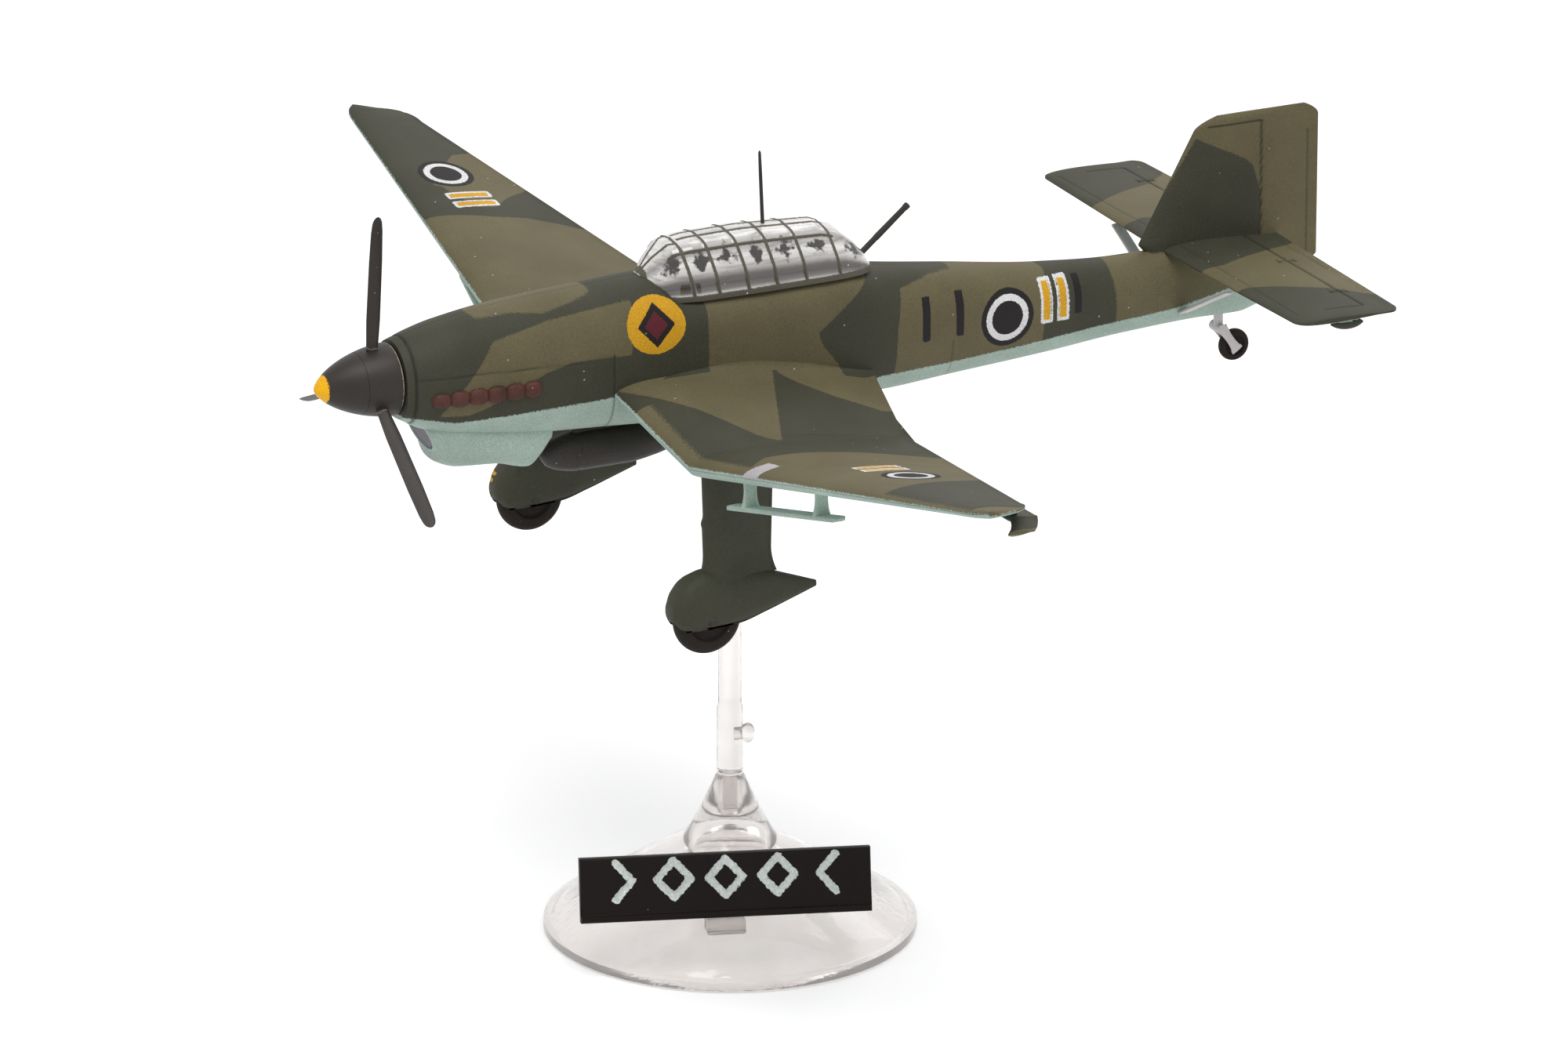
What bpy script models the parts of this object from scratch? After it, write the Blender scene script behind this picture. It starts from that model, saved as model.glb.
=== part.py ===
"""Propeller plane kit model, about 1:144, on its clear display stand with a nameplate.

All sizes below are in millimetres, and build() turns them into metres. The stand stands on z = 0 with
its column on the z axis. The aircraft is drawn from its spinner tip: x is negative aft, y is positive
to port and z is measured from the propeller's axis.
"""

import math

import bmesh
import bpy
import numpy as np
from mathutils import Euler
from mathutils import Vector

MM = 0.001

# Clearances between pieces
SEAM = 0.10
SEAT_GAP = 0.10
RUNNING_GAP = 0.12
CUT_THROUGH = 5.0
SOCKET_CLEARANCE = 0.06

# Where the aircraft stands over the stand
NOSE_AHEAD_OF_COLUMN = 30.3
THRUST_HEIGHT = 42.8

# Display stand
BASE_RADIUS = 12.67
BASE_RIM_HEIGHT = 0.87
BASE_DOME_HEIGHT = 6.4
CONE_FOOT_RADIUS = 2.7
CONE_TOP_RADIUS = 0.95
CONE_TOP_HEIGHT = 11.0
COLUMN_FOOT_RADIUS = 0.88
COLUMN_RADIUS = 0.79
COLUMN_STEP_HEIGHT = 15.8
SPIGOT_RADIUS = 0.55
SPIGOT_LENGTH = 2.8
PEG_RADIUS = 0.52
PEG_LENGTH = 2.9
NUB_HEIGHT = 13.9
NUB_RADIUS = 0.46
NUB_REACH = 1.4
NUB_DIRECTION = math.radians(153.5)

# Nameplate and the lug that carries it
PLATE_LENGTH = 19.6
PLATE_HEIGHT = 4.35
PLATE_THICKNESS = 1.0
PLATE_FROM_AXIS = 8.4
PLATE_BOTTOM = 3.95
PLATE_LEAN = math.radians(12)
PLATE_BEARING = math.radians(61.6)
PLATE_FACING = math.radians(70.6)
PLATE_EDGE_BEVEL = 0.12
LUG_WIDTH = 2.6
LUG_DEPTH = 1.1
LUG_HEIGHT = 2.4

# Fuselage
STERN = -70.4
COWL_FRONT = -5.6
CANOPY_SILL = 3.2
FIN_TOP = 9.45
FIN_ROOT = 1.1
FIN_LEADING_EDGE = -61.15
FIN_SWEEP = 0.561
RUDDER_EDGE = -74.9
FIN_HALF_THICKNESS = 0.55

# Propeller
PROP_RADIUS = 11.82
PROP_PLANE = -4.05
BLADE_COUNT = 3
BLADE_ANGLE = math.radians(7.1)
BLADE_WIDTH = 1.05
BLADE_THICKNESS = 0.34
BLADE_ROOT = 1.3
BLADE_OUTLINE = ((0.0, 0.6), (0.3, 0.95), (0.7, 1.0), (0.9, 0.8), (0.97, 0.5), (1.0, 0.25))
SPINNER_RADIUS = 2.45
SPINNER_LENGTH = 5.4
SPINNER_SPLIT = -3.1
SHAFT_RADIUS = 0.4
COLLAR_RADIUS = 0.85
COLLAR_LENGTH = 0.7
COLLAR_FRONT = -8.0
SHAFT_END = -9.4
CHAMBER_LENGTH = 2.6

# Wing
WING_HALF_SPAN = 48.0
KINK_FRONT = 13.2
KINK_BACK = 11.6
ROOT_STATION = 1.6
ROOT_EDGES = (-20.1, -39.9)
KINK_EDGES = (-20.8, -37.5)
TIP_EDGES = (-23.75, -28.6)
ROOT_HEIGHTS = (-2.05, -3.65)
KINK_HEIGHTS = (-4.6, -5.4)
TIP_HEIGHTS = (2.0, 1.75)
ROOT_THICKNESS = 2.5
KINK_THICKNESS = 2.1
TIP_THICKNESS = 0.75
TIP_ROUNDING = 3.0
TIP_CORNER = 0.6
EDGE_THICKNESS = 0.12
WELD_DISTANCE = 0.01
SHARP_ANGLE = math.radians(40)

# Strips behind and below the wing
STRIP_CHORD = 1.9
STRIP_THICKNESS = 0.36
STRIP_DROP = 0.95
FLAP_OVERHANG = 1.2
AILERON_OVERHANG = 1.05
FLAP_SPAN = (6.2, 12.9)
AILERON_SPAN = (13.5, WING_HALF_SPAN - 1.3)
HORN_LENGTH = 1.4
HORN_DROP = 0.65
BRACKET_WIDTH = 0.35
BRACKET_INSET = 0.8

# Dive brakes
BRAKE_SPAN = (16.9, 28.6)
BRAKE_BRACKET_INSET = 2.1
BRAKE_CHORD = 1.1
BRAKE_THICKNESS = 0.34
BRAKE_DROP = 2.35
BRAKE_BEHIND = (0.9, 2.0)

# Undercarriage
GEAR_TRACK = 13.6
WHEEL_RADIUS = 2.4
WHEEL_WIDTH = 1.2
WHEEL_CENTRE = (-21.9, -14.95)
AXLE_RADIUS = 0.28
SPAT_HALF_WIDTH = 1.3
SPAT_NOSE = -19.2
SPAT_TAIL = -29.9
SPAT_TOP = -11.6
SPAT_BOTTOM = -15.5
LEG_FRONT = -21.45
LEG_CHORD = 5.3
LEG_THICKNESS = 1.6
TAIL_WHEEL_RADIUS = 1.12
TAIL_WHEEL_WIDTH = 0.62
TAIL_WHEEL_CENTRE = (-68.6, -7.05)
TAIL_AXLE_RADIUS = 0.18
FORK_STEM = (-67.4, -5.2)
FORK_STEM_RADIUS = 0.34
FORK_ARM_THICKNESS = 0.26

# Tailplane
TAIL_HALF_SPAN = 18.5
TAIL_HEIGHT = 0.5
TAIL_EDGES_ROOT = (-62.9, -71.7)
TAIL_EDGES_TIP = (-63.4, -71.1)
TAIL_THICKNESS_ROOT = 0.95
TAIL_THICKNESS_TIP = 0.6
STRUT_RADIUS = 0.22
STRUT_FOOT = (-64.0, 1.55, -3.5)
STRUT_HEAD = (-63.9, 8.2)

# Fittings
MAST_RADIUS = 0.13
MAST_BASE = (-32.8, 6.3)
MAST_TOP = (-32.56, 11.85)
GUN_RADIUS = 0.17
GUN_BASE = (-39.3, 2.95)
GUN_TIP = (-43.66, 6.55)
BOMB_RADIUS = 1.35
BOMB_AXIS = -7.05
BOMB_NOSE = -16.3
BOMB_LENGTH = 12.2
BOMB_FIN_THICKNESS = 0.18
EXHAUST_SPAN = (-7.1, -14.9)
EXHAUST_HEIGHT = -1.0
EXHAUST_HALF_HEIGHT = 0.55
EXHAUST_DEPTH = 0.45
EXHAUST_STUBS = 6
CORE_HALF_WIDTH = 1.35
CORE_HALF_HEIGHT = 1.0

# Fuselage stations: x, top, bottom, half width, height of the widest line, squareness of the top
FUSELAGE_STATIONS = (
    (-5.6, 2.6, -2.6, 2.55, 0.0, 2.0),
    (-7.0, 3.05, -3.4, 2.85, -0.1, 2.1),
    (-9.0, 3.5, -4.1, 3.15, -0.2, 2.2),
    (-13.6, 4.1, -4.8, 3.4, -0.5, 2.3),
    (-20.8, 4.5, -5.3, 3.5, -0.8, 2.4),
    (-23.5, 4.62, -5.5, 3.5, -0.9, 2.5),
    (-25.8, 3.2, -5.6, 3.5, -0.9, 4.5),
    (-31.0, 3.2, -5.75, 3.45, -0.9, 4.5),
    (-37.5, 3.2, -5.75, 3.3, -0.9, 4.5),
    (-40.9, 2.7, -5.9, 3.05, -0.9, 2.7),
    (-46.3, 2.0, -5.6, 2.75, -1.0, 2.2),
    (-53.6, 1.0, -5.2, 2.25, -1.3, 2.0),
    (-59.5, 0.6, -4.75, 1.85, -1.6, 2.0),
    (-65.0, 0.6, -4.6, 1.3, -1.7, 2.0),
    (-68.8, 0.6, -4.7, 0.75, -1.8, 2.0),
    (-70.4, 0.5, -4.35, 0.45, -1.8, 2.0),
)
BELLY_SQUARENESS = 2.8

# Canopy stations: x, half width at the sill, top, half width of the roof as a share of the sill's
CANOPY_STATIONS = (
    (-23.5, 0.9, 4.7, 0.5),
    (-24.4, 1.9, 5.75, 0.5),
    (-25.4, 2.55, 6.65, 0.5),
    (-26.8, 2.85, 6.85, 0.5),
    (-30.9, 2.95, 6.9, 0.52),
    (-36.2, 2.8, 6.6, 0.5),
    (-38.2, 2.55, 5.75, 0.5),
    (-39.6, 2.1, 4.5, 0.5),
    (-40.6, 1.5, 3.6, 0.5),
)

RING_POINTS = 12
FOIL_POINTS = 7
ROUND = 24
TYRE_SEGMENTS = 32
BASE_SEGMENTS = 48

materials = {}


def material(name, color, roughness, metallic=0.0):
    """One Principled material for each finish, made once."""
    if name not in materials:
        made = bpy.data.materials.new(name)
        made.use_nodes = True
        shader = made.node_tree.nodes["Principled BSDF"]
        shader.inputs["Base Color"].default_value = (*color, 1.0)
        shader.inputs["Roughness"].default_value = roughness
        shader.inputs["Metallic"].default_value = metallic
        materials[name] = made
    return materials[name]


def camouflage():
    return material("camouflage_paint", (0.055, 0.06, 0.045), 0.7)


def underside():
    return material("underside_paint", (0.37, 0.51, 0.45), 0.65)


def black_plastic():
    return material("black_plastic", (0.012, 0.011, 0.01), 0.55)


def clear_plastic():
    return material("clear_plastic", (0.85, 0.84, 0.84), 0.1)


def silver_paint():
    return material("silver_paint", (0.5, 0.49, 0.49), 0.45, 0.4)


def exhaust_paint():
    return material("exhaust_brown", (0.07, 0.022, 0.016), 0.6)


def tyre_paint():
    return material("tyre", (0.02, 0.016, 0.014), 0.8)


def signed_volume(points, faces):
    total = 0.0
    for face in faces:
        for k in range(1, len(face) - 1):
            a, b, c = points[face[0]], points[face[k]], points[face[k + 1]]
            total += float(np.dot(a, np.cross(b, c)))
    return total


def build(name, shape, finish, pivot=(0.0, 0.0, 0.0), parent=None, cutter=False):
    """Make one object from (points, faces) in millimetres, with its origin on its pivot."""
    points, faces = shape
    if signed_volume(points, faces) < 0:
        faces = [tuple(reversed(face)) for face in faces]
    mesh = bpy.data.meshes.new(name)
    mesh.from_pydata((np.asarray(points) - np.asarray(pivot)) * MM, [], faces)
    mesh.update()
    mesh.shade_smooth()
    mesh.set_sharp_from_angle(angle=SHARP_ANGLE)
    obj = bpy.data.objects.new(name, mesh)
    bpy.context.scene.collection.objects.link(obj)
    obj.location = np.asarray(pivot) * MM
    obj.parent = parent
    if cutter:
        obj.hide_render = True
        obj.display_type = "WIRE"
    else:
        mesh.materials.append(finish)
    return obj


def combine(obj, other, operation="DIFFERENCE"):
    """Cut another object from this one, or join it to this one."""
    other.hide_render = True
    other.display_type = "WIRE"
    step = obj.modifiers.new(operation.lower() + "_" + other.name, "BOOLEAN")
    step.operation = operation
    step.object = other
    step.solver = "EXACT"


def settle_cuts():
    """Bake the cuts of each piece into its mesh, and clean the slivers that they leave."""
    bpy.context.view_layer.update()
    graph = bpy.context.evaluated_depsgraph_get()
    cut = [obj for obj in bpy.data.objects if not obj.hide_render and obj.modifiers]
    baked = [(obj, bpy.data.meshes.new_from_object(obj.evaluated_get(graph))) for obj in cut]
    for obj, mesh in baked:
        work = bmesh.new()
        work.from_mesh(mesh)
        bmesh.ops.triangulate(work, faces=work.faces)
        bmesh.ops.remove_doubles(work, verts=work.verts, dist=WELD_DISTANCE * MM)
        bmesh.ops.dissolve_degenerate(work, edges=work.edges, dist=WELD_DISTANCE * MM)
        bmesh.ops.triangulate(work, faces=work.faces)
        work.verts.index_update()
        corners = {}
        for face in work.faces:
            corners.setdefault(frozenset(vert.index for vert in face.verts), []).append(face)
        folded = [face for faces in corners.values() if len(faces) == 2 for face in faces]
        bmesh.ops.delete(work, geom=folded, context="FACES")
        work.to_mesh(mesh)
        work.free()
        mesh.shade_smooth()
        mesh.set_sharp_from_angle(angle=SHARP_ANGLE)
        obj.modifiers.clear()
        obj.data = mesh


def loft(rings):
    """A closed solid through rings with the same number of points, its two ends capped."""
    rings = [np.asarray(ring, float) for ring in rings]
    count = len(rings[0])
    faces = []
    for k in range(len(rings) - 1):
        for i in range(count):
            j = (i + 1) % count
            faces.append((k * count + i, k * count + j, (k + 1) * count + j, (k + 1) * count + i))
    faces.append(tuple(reversed(range(count))))
    faces.append(tuple(range((len(rings) - 1) * count, len(rings) * count)))
    return np.concatenate(rings), faces


def turned(profile, start, direction, segments=ROUND):
    """A solid of revolution: (distance along the axis, radius) pairs, both ends on the axis or flat."""
    along = Vector(direction).normalized()
    side = along.orthogonal().normalized()
    across = along.cross(side)
    along, side, across = (np.array(v) for v in (along, side, across))
    angles = np.linspace(0.0, 2.0 * math.pi, segments, endpoint=False)
    rings = []
    for distance, radius in profile:
        centre = np.asarray(start, float) + along * distance
        circle = np.cos(angles)[:, None] * side + np.sin(angles)[:, None] * across
        rings.append(centre + radius * circle)
    return loft(rings)


def rod(start, end, radius, segments=12):
    length = float(np.linalg.norm(np.subtract(end, start)))
    return turned([(0.0, radius), (length, radius)], start, np.subtract(end, start), segments)


def box(low, high):
    (x0, y0, z0), (x1, y1, z1) = low, high
    ring = [(x0, y0), (x1, y0), (x1, y1), (x0, y1)]
    return loft([[(x, y, z) for x, y in ring] for z in (z0, z1)])


def mirrored(shape, side):
    """The same shape for the port side (side = 1) or the starboard side (side = -1)."""
    points, faces = shape
    return points * np.array([1.0, side, 1.0]), faces


def fuselage_at(x):
    table = np.array(FUSELAGE_STATIONS)[::-1]
    return [float(np.interp(x, table[:, 0], table[:, k])) for k in range(1, 6)]


def fuselage_outline(x, grow):
    """Half outline at station x, from the top line round to the bottom line, as (y, z)."""
    top, bottom, half_width, widest, squareness = fuselage_at(x)
    angle = np.linspace(0.0, math.pi, RING_POINTS)
    power = np.where(angle < math.pi / 2, 2.0 / squareness, 2.0 / BELLY_SQUARENESS)
    y = (half_width + grow) * np.abs(np.sin(angle)) ** power
    rise = np.abs(np.cos(angle)) ** power
    upper = widest + (top + grow - widest) * rise
    lower = widest - (widest - bottom + grow) * rise
    z = np.where(angle < math.pi / 2, upper, lower)
    y[0] = 0.0
    y[-1] = 0.0
    return y, z


def fuselage_stations():
    """The stations' x, from nose to stern, with the ends on the cowl's front and the stern."""
    return [station[0] for station in FUSELAGE_STATIONS]


def fuselage_half(side):
    """One half of the body, which meets the other half at the seam."""
    rings = []
    for x in fuselage_stations():
        y, z = fuselage_outline(x, 0.0)
        y = np.maximum(y, 0.02) + SEAM / 2
        y[0] = SEAM / 2
        y[-1] = SEAM / 2
        rings.append([(x, side * b, c) for b, c in zip(y, z)])
    return loft(rings)


def fuselage_body(grow):
    """The whole body, grown by a clearance, which cuts what fits against it."""
    rings = []
    for x in fuselage_stations():
        y, z = fuselage_outline(x, grow)
        y = y + SEAM / 2
        y[0] = 0.0
        y[-1] = 0.0
        port = [(x, b, c) for b, c in zip(y, z)]
        starboard = [(x, -b, c) for b, c in zip(y[1:-1], z[1:-1])]
        rings.append(port + starboard[::-1])
    rings[0] = [(a + grow, b, c) for a, b, c in rings[0]]
    rings[-1] = [(a - grow, b, c) for a, b, c in rings[-1]]
    return loft(rings)


def fin_edges(z):
    """Leading and trailing edge of the fin and rudder at height z."""
    front = FIN_LEADING_EDGE - FIN_SWEEP * max(z - FIN_ROOT, 0.0)
    back = RUDDER_EDGE
    corner = max(z - (FIN_TOP - 0.9), 0.0)
    front -= 1.6 * corner ** 2
    back += 1.3 * corner ** 2
    if z < FIN_ROOT:
        front = FIN_LEADING_EDGE - 0.9 * (FIN_ROOT - z)
    if z < -1.4:
        back = RUDDER_EDGE + 1.5 * (-1.4 - z)
    return front, back


def foil(count, thickness):
    """Half thickness of a symmetric aerofoil at count points from its front to its back edge."""
    along = 0.5 * (1.0 - np.cos(np.linspace(0.0, math.pi, count)))
    camber = 2.96 * np.sqrt(along) - 1.26 * along - 3.52 * along**2 + 2.84 * along**3 - 1.02 * along**4
    return along, np.maximum(camber * thickness / 2, EDGE_THICKNESS / 2)


def fin_ring(z, side, inner, grow):
    front, back = fin_edges(z)
    taper = 1.0 - 0.45 * max(z, 0.0) / FIN_TOP
    along, half = foil(FOIL_POINTS, 2 * FIN_HALF_THICKNESS * taper)
    x = (front + grow) + (back - front - 2 * grow) * along
    outer = [(a, side * (inner + h + grow), z) for a, h in zip(x, half)]
    return outer + [(x[-1], side * inner, z), (x[0], side * inner, z)]


def fin_levels(grow):
    bottom = fuselage_at(STERN)[1]
    levels = [bottom + 0.05, -1.4, FIN_ROOT, 4.5, FIN_TOP - 0.9, FIN_TOP - 0.45, FIN_TOP]
    levels[-1] += grow
    return levels


def fin_half(side):
    return loft([fin_ring(z, side, SEAM / 2, 0.0) for z in fin_levels(0.0)])


def fin_body(grow):
    rings = []
    for z in fin_levels(grow):
        port = fin_ring(z, 1, 0.0, grow)[:-2]
        starboard = fin_ring(z, -1, 0.0, grow)[:-2]
        rings.append(port + starboard[::-1])
    return loft(rings)


def wing_at(y):
    """Front edge, back edge, their heights and the thickness of the wing at distance y from the middle."""
    tip = WING_HALF_SPAN - TIP_ROUNDING
    front_at = [ROOT_STATION, KINK_FRONT, tip]
    back_at = [ROOT_STATION, KINK_BACK, tip]
    front = np.interp(y, front_at, [ROOT_EDGES[0], KINK_EDGES[0], TIP_EDGES[0]])
    back = np.interp(y, back_at, [ROOT_EDGES[1], KINK_EDGES[1], TIP_EDGES[1]])
    front_z = np.interp(y, front_at, [ROOT_HEIGHTS[0], KINK_HEIGHTS[0], TIP_HEIGHTS[0]])
    back_z = np.interp(y, back_at, [ROOT_HEIGHTS[1], KINK_HEIGHTS[1], TIP_HEIGHTS[1]])
    thick = np.interp(y, front_at, [ROOT_THICKNESS, KINK_THICKNESS, TIP_THICKNESS])
    beyond = max(y - tip, 0.0)
    past = beyond / TIP_ROUNDING
    round_off = 1.0 - math.sqrt(max(1.0 - past**2, 0.0))
    front += (TIP_EDGES[0] - KINK_EDGES[0]) / (tip - KINK_FRONT) * beyond - TIP_CORNER * past**6
    back += (TIP_EDGES[0] - TIP_EDGES[1]) * 0.8 * round_off
    lift = (TIP_HEIGHTS[0] - KINK_HEIGHTS[0]) / (tip - KINK_FRONT) * beyond
    thick *= 1.0 - 0.5 * round_off
    return float(front), float(back), float(front_z + lift), float(back_z + lift), float(thick)


def wing_stations():
    tip = WING_HALF_SPAN - TIP_ROUNDING
    rounding = [tip + TIP_ROUNDING * share for share in (0.5, 0.8, 0.95)]
    middle = [KINK_FRONT + (tip - KINK_FRONT) * share for share in (0.3, 0.65)]
    return [ROOT_STATION, 5.0, KINK_BACK, KINK_FRONT, *middle, tip, *rounding]


def wing_skin(side, upper):
    """The upper or the lower half of one wing, which meets the other half at the wing's middle surface."""
    sign = 1.0 if upper else -1.0
    rings = []
    for y in wing_stations():
        front, back, front_z, back_z, thick = wing_at(y)
        along, half = foil(FOIL_POINTS, thick)
        x = front + (back - front) * along
        middle = front_z + (back_z - front_z) * along
        outer = [(a, y, m + sign * (SEAM / 2 + h)) for a, m, h in zip(x, middle, half)]
        inner = [(a, y, m + sign * SEAM / 2) for a, m in zip(x[[-1, 0]], middle[[-1, 0]])]
        rings.append(outer + inner)
    return mirrored(loft(rings), side)


def wing_body(side, grow):
    """One whole wing, grown by a clearance, which cuts what fits against it."""
    rings = []
    for y in wing_stations():
        front, back, front_z, back_z, thick = wing_at(y)
        along, half = foil(FOIL_POINTS, thick)
        x = (front + grow) + (back - front - 2 * grow) * along
        middle = front_z + (back_z - front_z) * along
        top = [(a, y, m + SEAM / 2 + h + grow) for a, m, h in zip(x, middle, half)]
        under = [(a, y, m - SEAM / 2 - h - grow) for a, m, h in zip(x, middle, half)]
        rings.append(top + under[::-1])
    return mirrored(loft(rings), side)


def canopy_body(grow):
    """The clear canopy: a sill, sides that lean in and a rounded roof."""
    rings = []
    low = CANOPY_SILL + SEAT_GAP - grow
    for x, sill, top, roof in CANOPY_STATIONS:
        width = sill + grow
        crown = top + grow
        shoulder = low + 0.72 * (crown - low)
        bend = low + 0.93 * (crown - low)
        half = [(width, low), (width * 0.99, low + 0.3 * (crown - low))]
        half += [(width * (0.5 + roof / 2), shoulder), (width * roof, bend), (0.0, crown)]
        port = [(x, b, c) for b, c in half]
        starboard = [(x, -b, c) for b, c in half[:-1]]
        rings.append(port + starboard[::-1])
    rings[0] = [(a + grow, b, c) for a, b, c in rings[0]]
    rings[-1] = [(a - grow, b, c) for a, b, c in rings[-1]]
    return loft(rings)


def strip(side, span, overhang):
    """A narrow flap or aileron that hangs behind and below the wing's back edge."""
    rings = []
    for y in span:
        _, back, _, back_z, _ = wing_at(y)
        horn = max(y - AILERON_SPAN[1] + HORN_LENGTH, 0.0) / HORN_LENGTH
        height = back_z - STRIP_DROP - HORN_DROP * horn
        along, half = foil(5, STRIP_THICKNESS)
        x = back - overhang + STRIP_CHORD * (1.0 - along)
        top = [(a, y, height + h) for a, h in zip(x, half)]
        under = [(a, y, height - h) for a, h in zip(x, half)]
        rings.append(top + under[::-1])
    return mirrored(loft(rings), side)


def hung_strip(name, side, span, overhang, aircraft):
    """A strip with the three small brackets that reach up to the wing's underside."""
    breaks = (KINK_BACK, AILERON_SPAN[1] - HORN_LENGTH)
    stations = [span[0], *(y for y in breaks if span[0] < y < span[1]), span[1]]
    piece = build(name, strip(side, stations, overhang), camouflage(), parent=aircraft)
    outer = min(span[1], WING_HALF_SPAN - TIP_ROUNDING)
    for number, y in enumerate((span[0] + BRACKET_INSET, sum(span) / 2, outer - BRACKET_INSET)):
        _, back, _, back_z, _ = wing_at(y)
        low = (back + 0.1, y - BRACKET_WIDTH / 2, back_z - STRIP_DROP)
        high = (back - overhang + STRIP_CHORD - 0.3, y + BRACKET_WIDTH / 2, back_z)
        shape = mirrored(box(low, high), side)
        bracket = build(f"{name}_bracket_{number}", shape, None, parent=aircraft, cutter=True)
        combine(bracket, wing_cutters[side])
        combine(piece, bracket, "UNION")
    return piece


def dive_brake(name, side, aircraft):
    """The brake bar below the wing's front edge, on two brackets."""
    rings = []
    for y, behind in zip(BRAKE_SPAN, BRAKE_BEHIND):
        front, _, front_z, _, _ = wing_at(y)
        centre = front - behind
        height = front_z - BRAKE_DROP
        x = [centre + BRAKE_CHORD / 2, centre - BRAKE_CHORD / 2]
        z = [height - BRAKE_THICKNESS / 2, height + BRAKE_THICKNESS / 2]
        rings.append([(x[0], y, z[0]), (x[0], y, z[1]), (x[1], y, z[1]), (x[1], y, z[0])])
    piece = build(name, mirrored(loft(rings), side), underside(), parent=aircraft)
    for number, inset in enumerate((BRAKE_BRACKET_INSET, -BRAKE_BRACKET_INSET)):
        y = BRAKE_SPAN[0 if inset > 0 else 1] + inset
        front, _, front_z, _, _ = wing_at(y)
        centre = front - np.interp(y, BRAKE_SPAN, BRAKE_BEHIND)
        low = (centre - BRAKE_CHORD * 0.4, y - BRACKET_WIDTH / 2, front_z - BRAKE_DROP)
        high = (centre + BRAKE_CHORD * 0.4, y + BRACKET_WIDTH / 2, front_z)
        shape = mirrored(box(low, high), side)
        bracket = build(f"{name}_bracket_{number}", shape, None, parent=aircraft, cutter=True)
        combine(bracket, wing_cutters[side])
        combine(piece, bracket, "UNION")
    return piece


def column_foot():
    """Height of the shoulder of the column that the belly rests on."""
    belly = fuselage_at(-NOSE_AHEAD_OF_COLUMN)[1]
    return THRUST_HEIGHT + belly - SEAT_GAP


def plate_place(shape):
    """Stand a shape drawn face-on (x across, y away from the viewer, z up) at the nameplate's place."""
    points, faces = shape
    lean = np.array(Euler((-PLATE_LEAN, 0.0, 0.0)).to_matrix())
    turn = np.array(Euler((0.0, 0.0, PLATE_FACING + math.pi / 2)).to_matrix())
    bearing = np.array([math.cos(PLATE_BEARING), math.sin(PLATE_BEARING), 0.0])
    place = PLATE_FROM_AXIS * bearing + np.array([0.0, 0.0, PLATE_BOTTOM])
    return points @ lean.T @ turn.T + place, faces


def make_stand():
    """Clear base with its cone and lug, the column that turns in the cone, and the nameplate."""
    cone_slope = [
        (BASE_RADIUS, 0.0),
        (BASE_RADIUS, BASE_RIM_HEIGHT * 0.6),
        (BASE_RADIUS - 0.3, BASE_RIM_HEIGHT),
    ]
    for share in (0.24, 0.44, 0.65, 0.84, 1.0):
        radius = BASE_RADIUS - 0.3 - share * (BASE_RADIUS - 0.3 - CONE_FOOT_RADIUS - 0.6)
        height = BASE_RIM_HEIGHT + (BASE_DOME_HEIGHT - BASE_RIM_HEIGHT) * share
        cone_slope.append((radius, height))
    cone_slope += [(CONE_FOOT_RADIUS, BASE_DOME_HEIGHT + 0.8), (CONE_TOP_RADIUS, CONE_TOP_HEIGHT)]
    bore = SPIGOT_RADIUS + SOCKET_CLEARANCE
    floor = CONE_TOP_HEIGHT - SPIGOT_LENGTH - SEAT_GAP
    profile = [(z, r) for r, z in cone_slope] + [(CONE_TOP_HEIGHT, bore), (floor, bore)]
    base = build("stand_base", turned(profile, (0, 0, 0), (0, 0, 1), BASE_SEGMENTS), clear_plastic())
    foot = box((-LUG_WIDTH / 2, -PLATE_THICKNESS * 0.7, -1.2), (LUG_WIDTH / 2, LUG_DEPTH, -SEAT_GAP))
    back = box((-LUG_WIDTH / 2, SEAT_GAP, -1.2), (LUG_WIDTH / 2, LUG_DEPTH, LUG_HEIGHT))
    for name, shape in (("lug_foot", foot), ("lug_back", back)):
        combine(base, build(name, plate_place(shape), None, cutter=True), "UNION")

    seat = CONE_TOP_HEIGHT + SEAT_GAP
    shoulder = column_foot()
    profile = [
        (CONE_TOP_HEIGHT - SPIGOT_LENGTH, SPIGOT_RADIUS),
        (seat, SPIGOT_RADIUS),
        (seat, COLUMN_FOOT_RADIUS),
        (COLUMN_STEP_HEIGHT, COLUMN_FOOT_RADIUS),
        (COLUMN_STEP_HEIGHT + 0.1, COLUMN_RADIUS),
        (shoulder, COLUMN_RADIUS),
        (shoulder, PEG_RADIUS),
        (shoulder + PEG_LENGTH, PEG_RADIUS),
    ]
    column = build("stand_column", turned(profile, (0, 0, 0), (0, 0, 1)), clear_plastic())
    away = (math.cos(NUB_DIRECTION), math.sin(NUB_DIRECTION), 0.0)
    bead = [(0.2, 0.28), (NUB_REACH - NUB_RADIUS, 0.3), (NUB_REACH - 0.6 * NUB_RADIUS, 0.8 * NUB_RADIUS)]
    bead += [(NUB_REACH, NUB_RADIUS), (NUB_REACH + 0.6 * NUB_RADIUS, 0.8 * NUB_RADIUS)]
    bead += [(NUB_REACH + NUB_RADIUS, 0.2)]
    nub = build("column_nub", turned(bead, (0, 0, NUB_HEIGHT), away, 12), None, cutter=True)
    combine(column, nub, "UNION")

    plate = box((-PLATE_LENGTH / 2, -PLATE_THICKNESS, 0.0), (PLATE_LENGTH / 2, 0.0, PLATE_HEIGHT))
    nameplate = build("nameplate", plate_place(plate), black_plastic())
    edge = nameplate.modifiers.new("edge", "BEVEL")
    edge.width = PLATE_EDGE_BEVEL * MM
    edge.segments = 1


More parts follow.
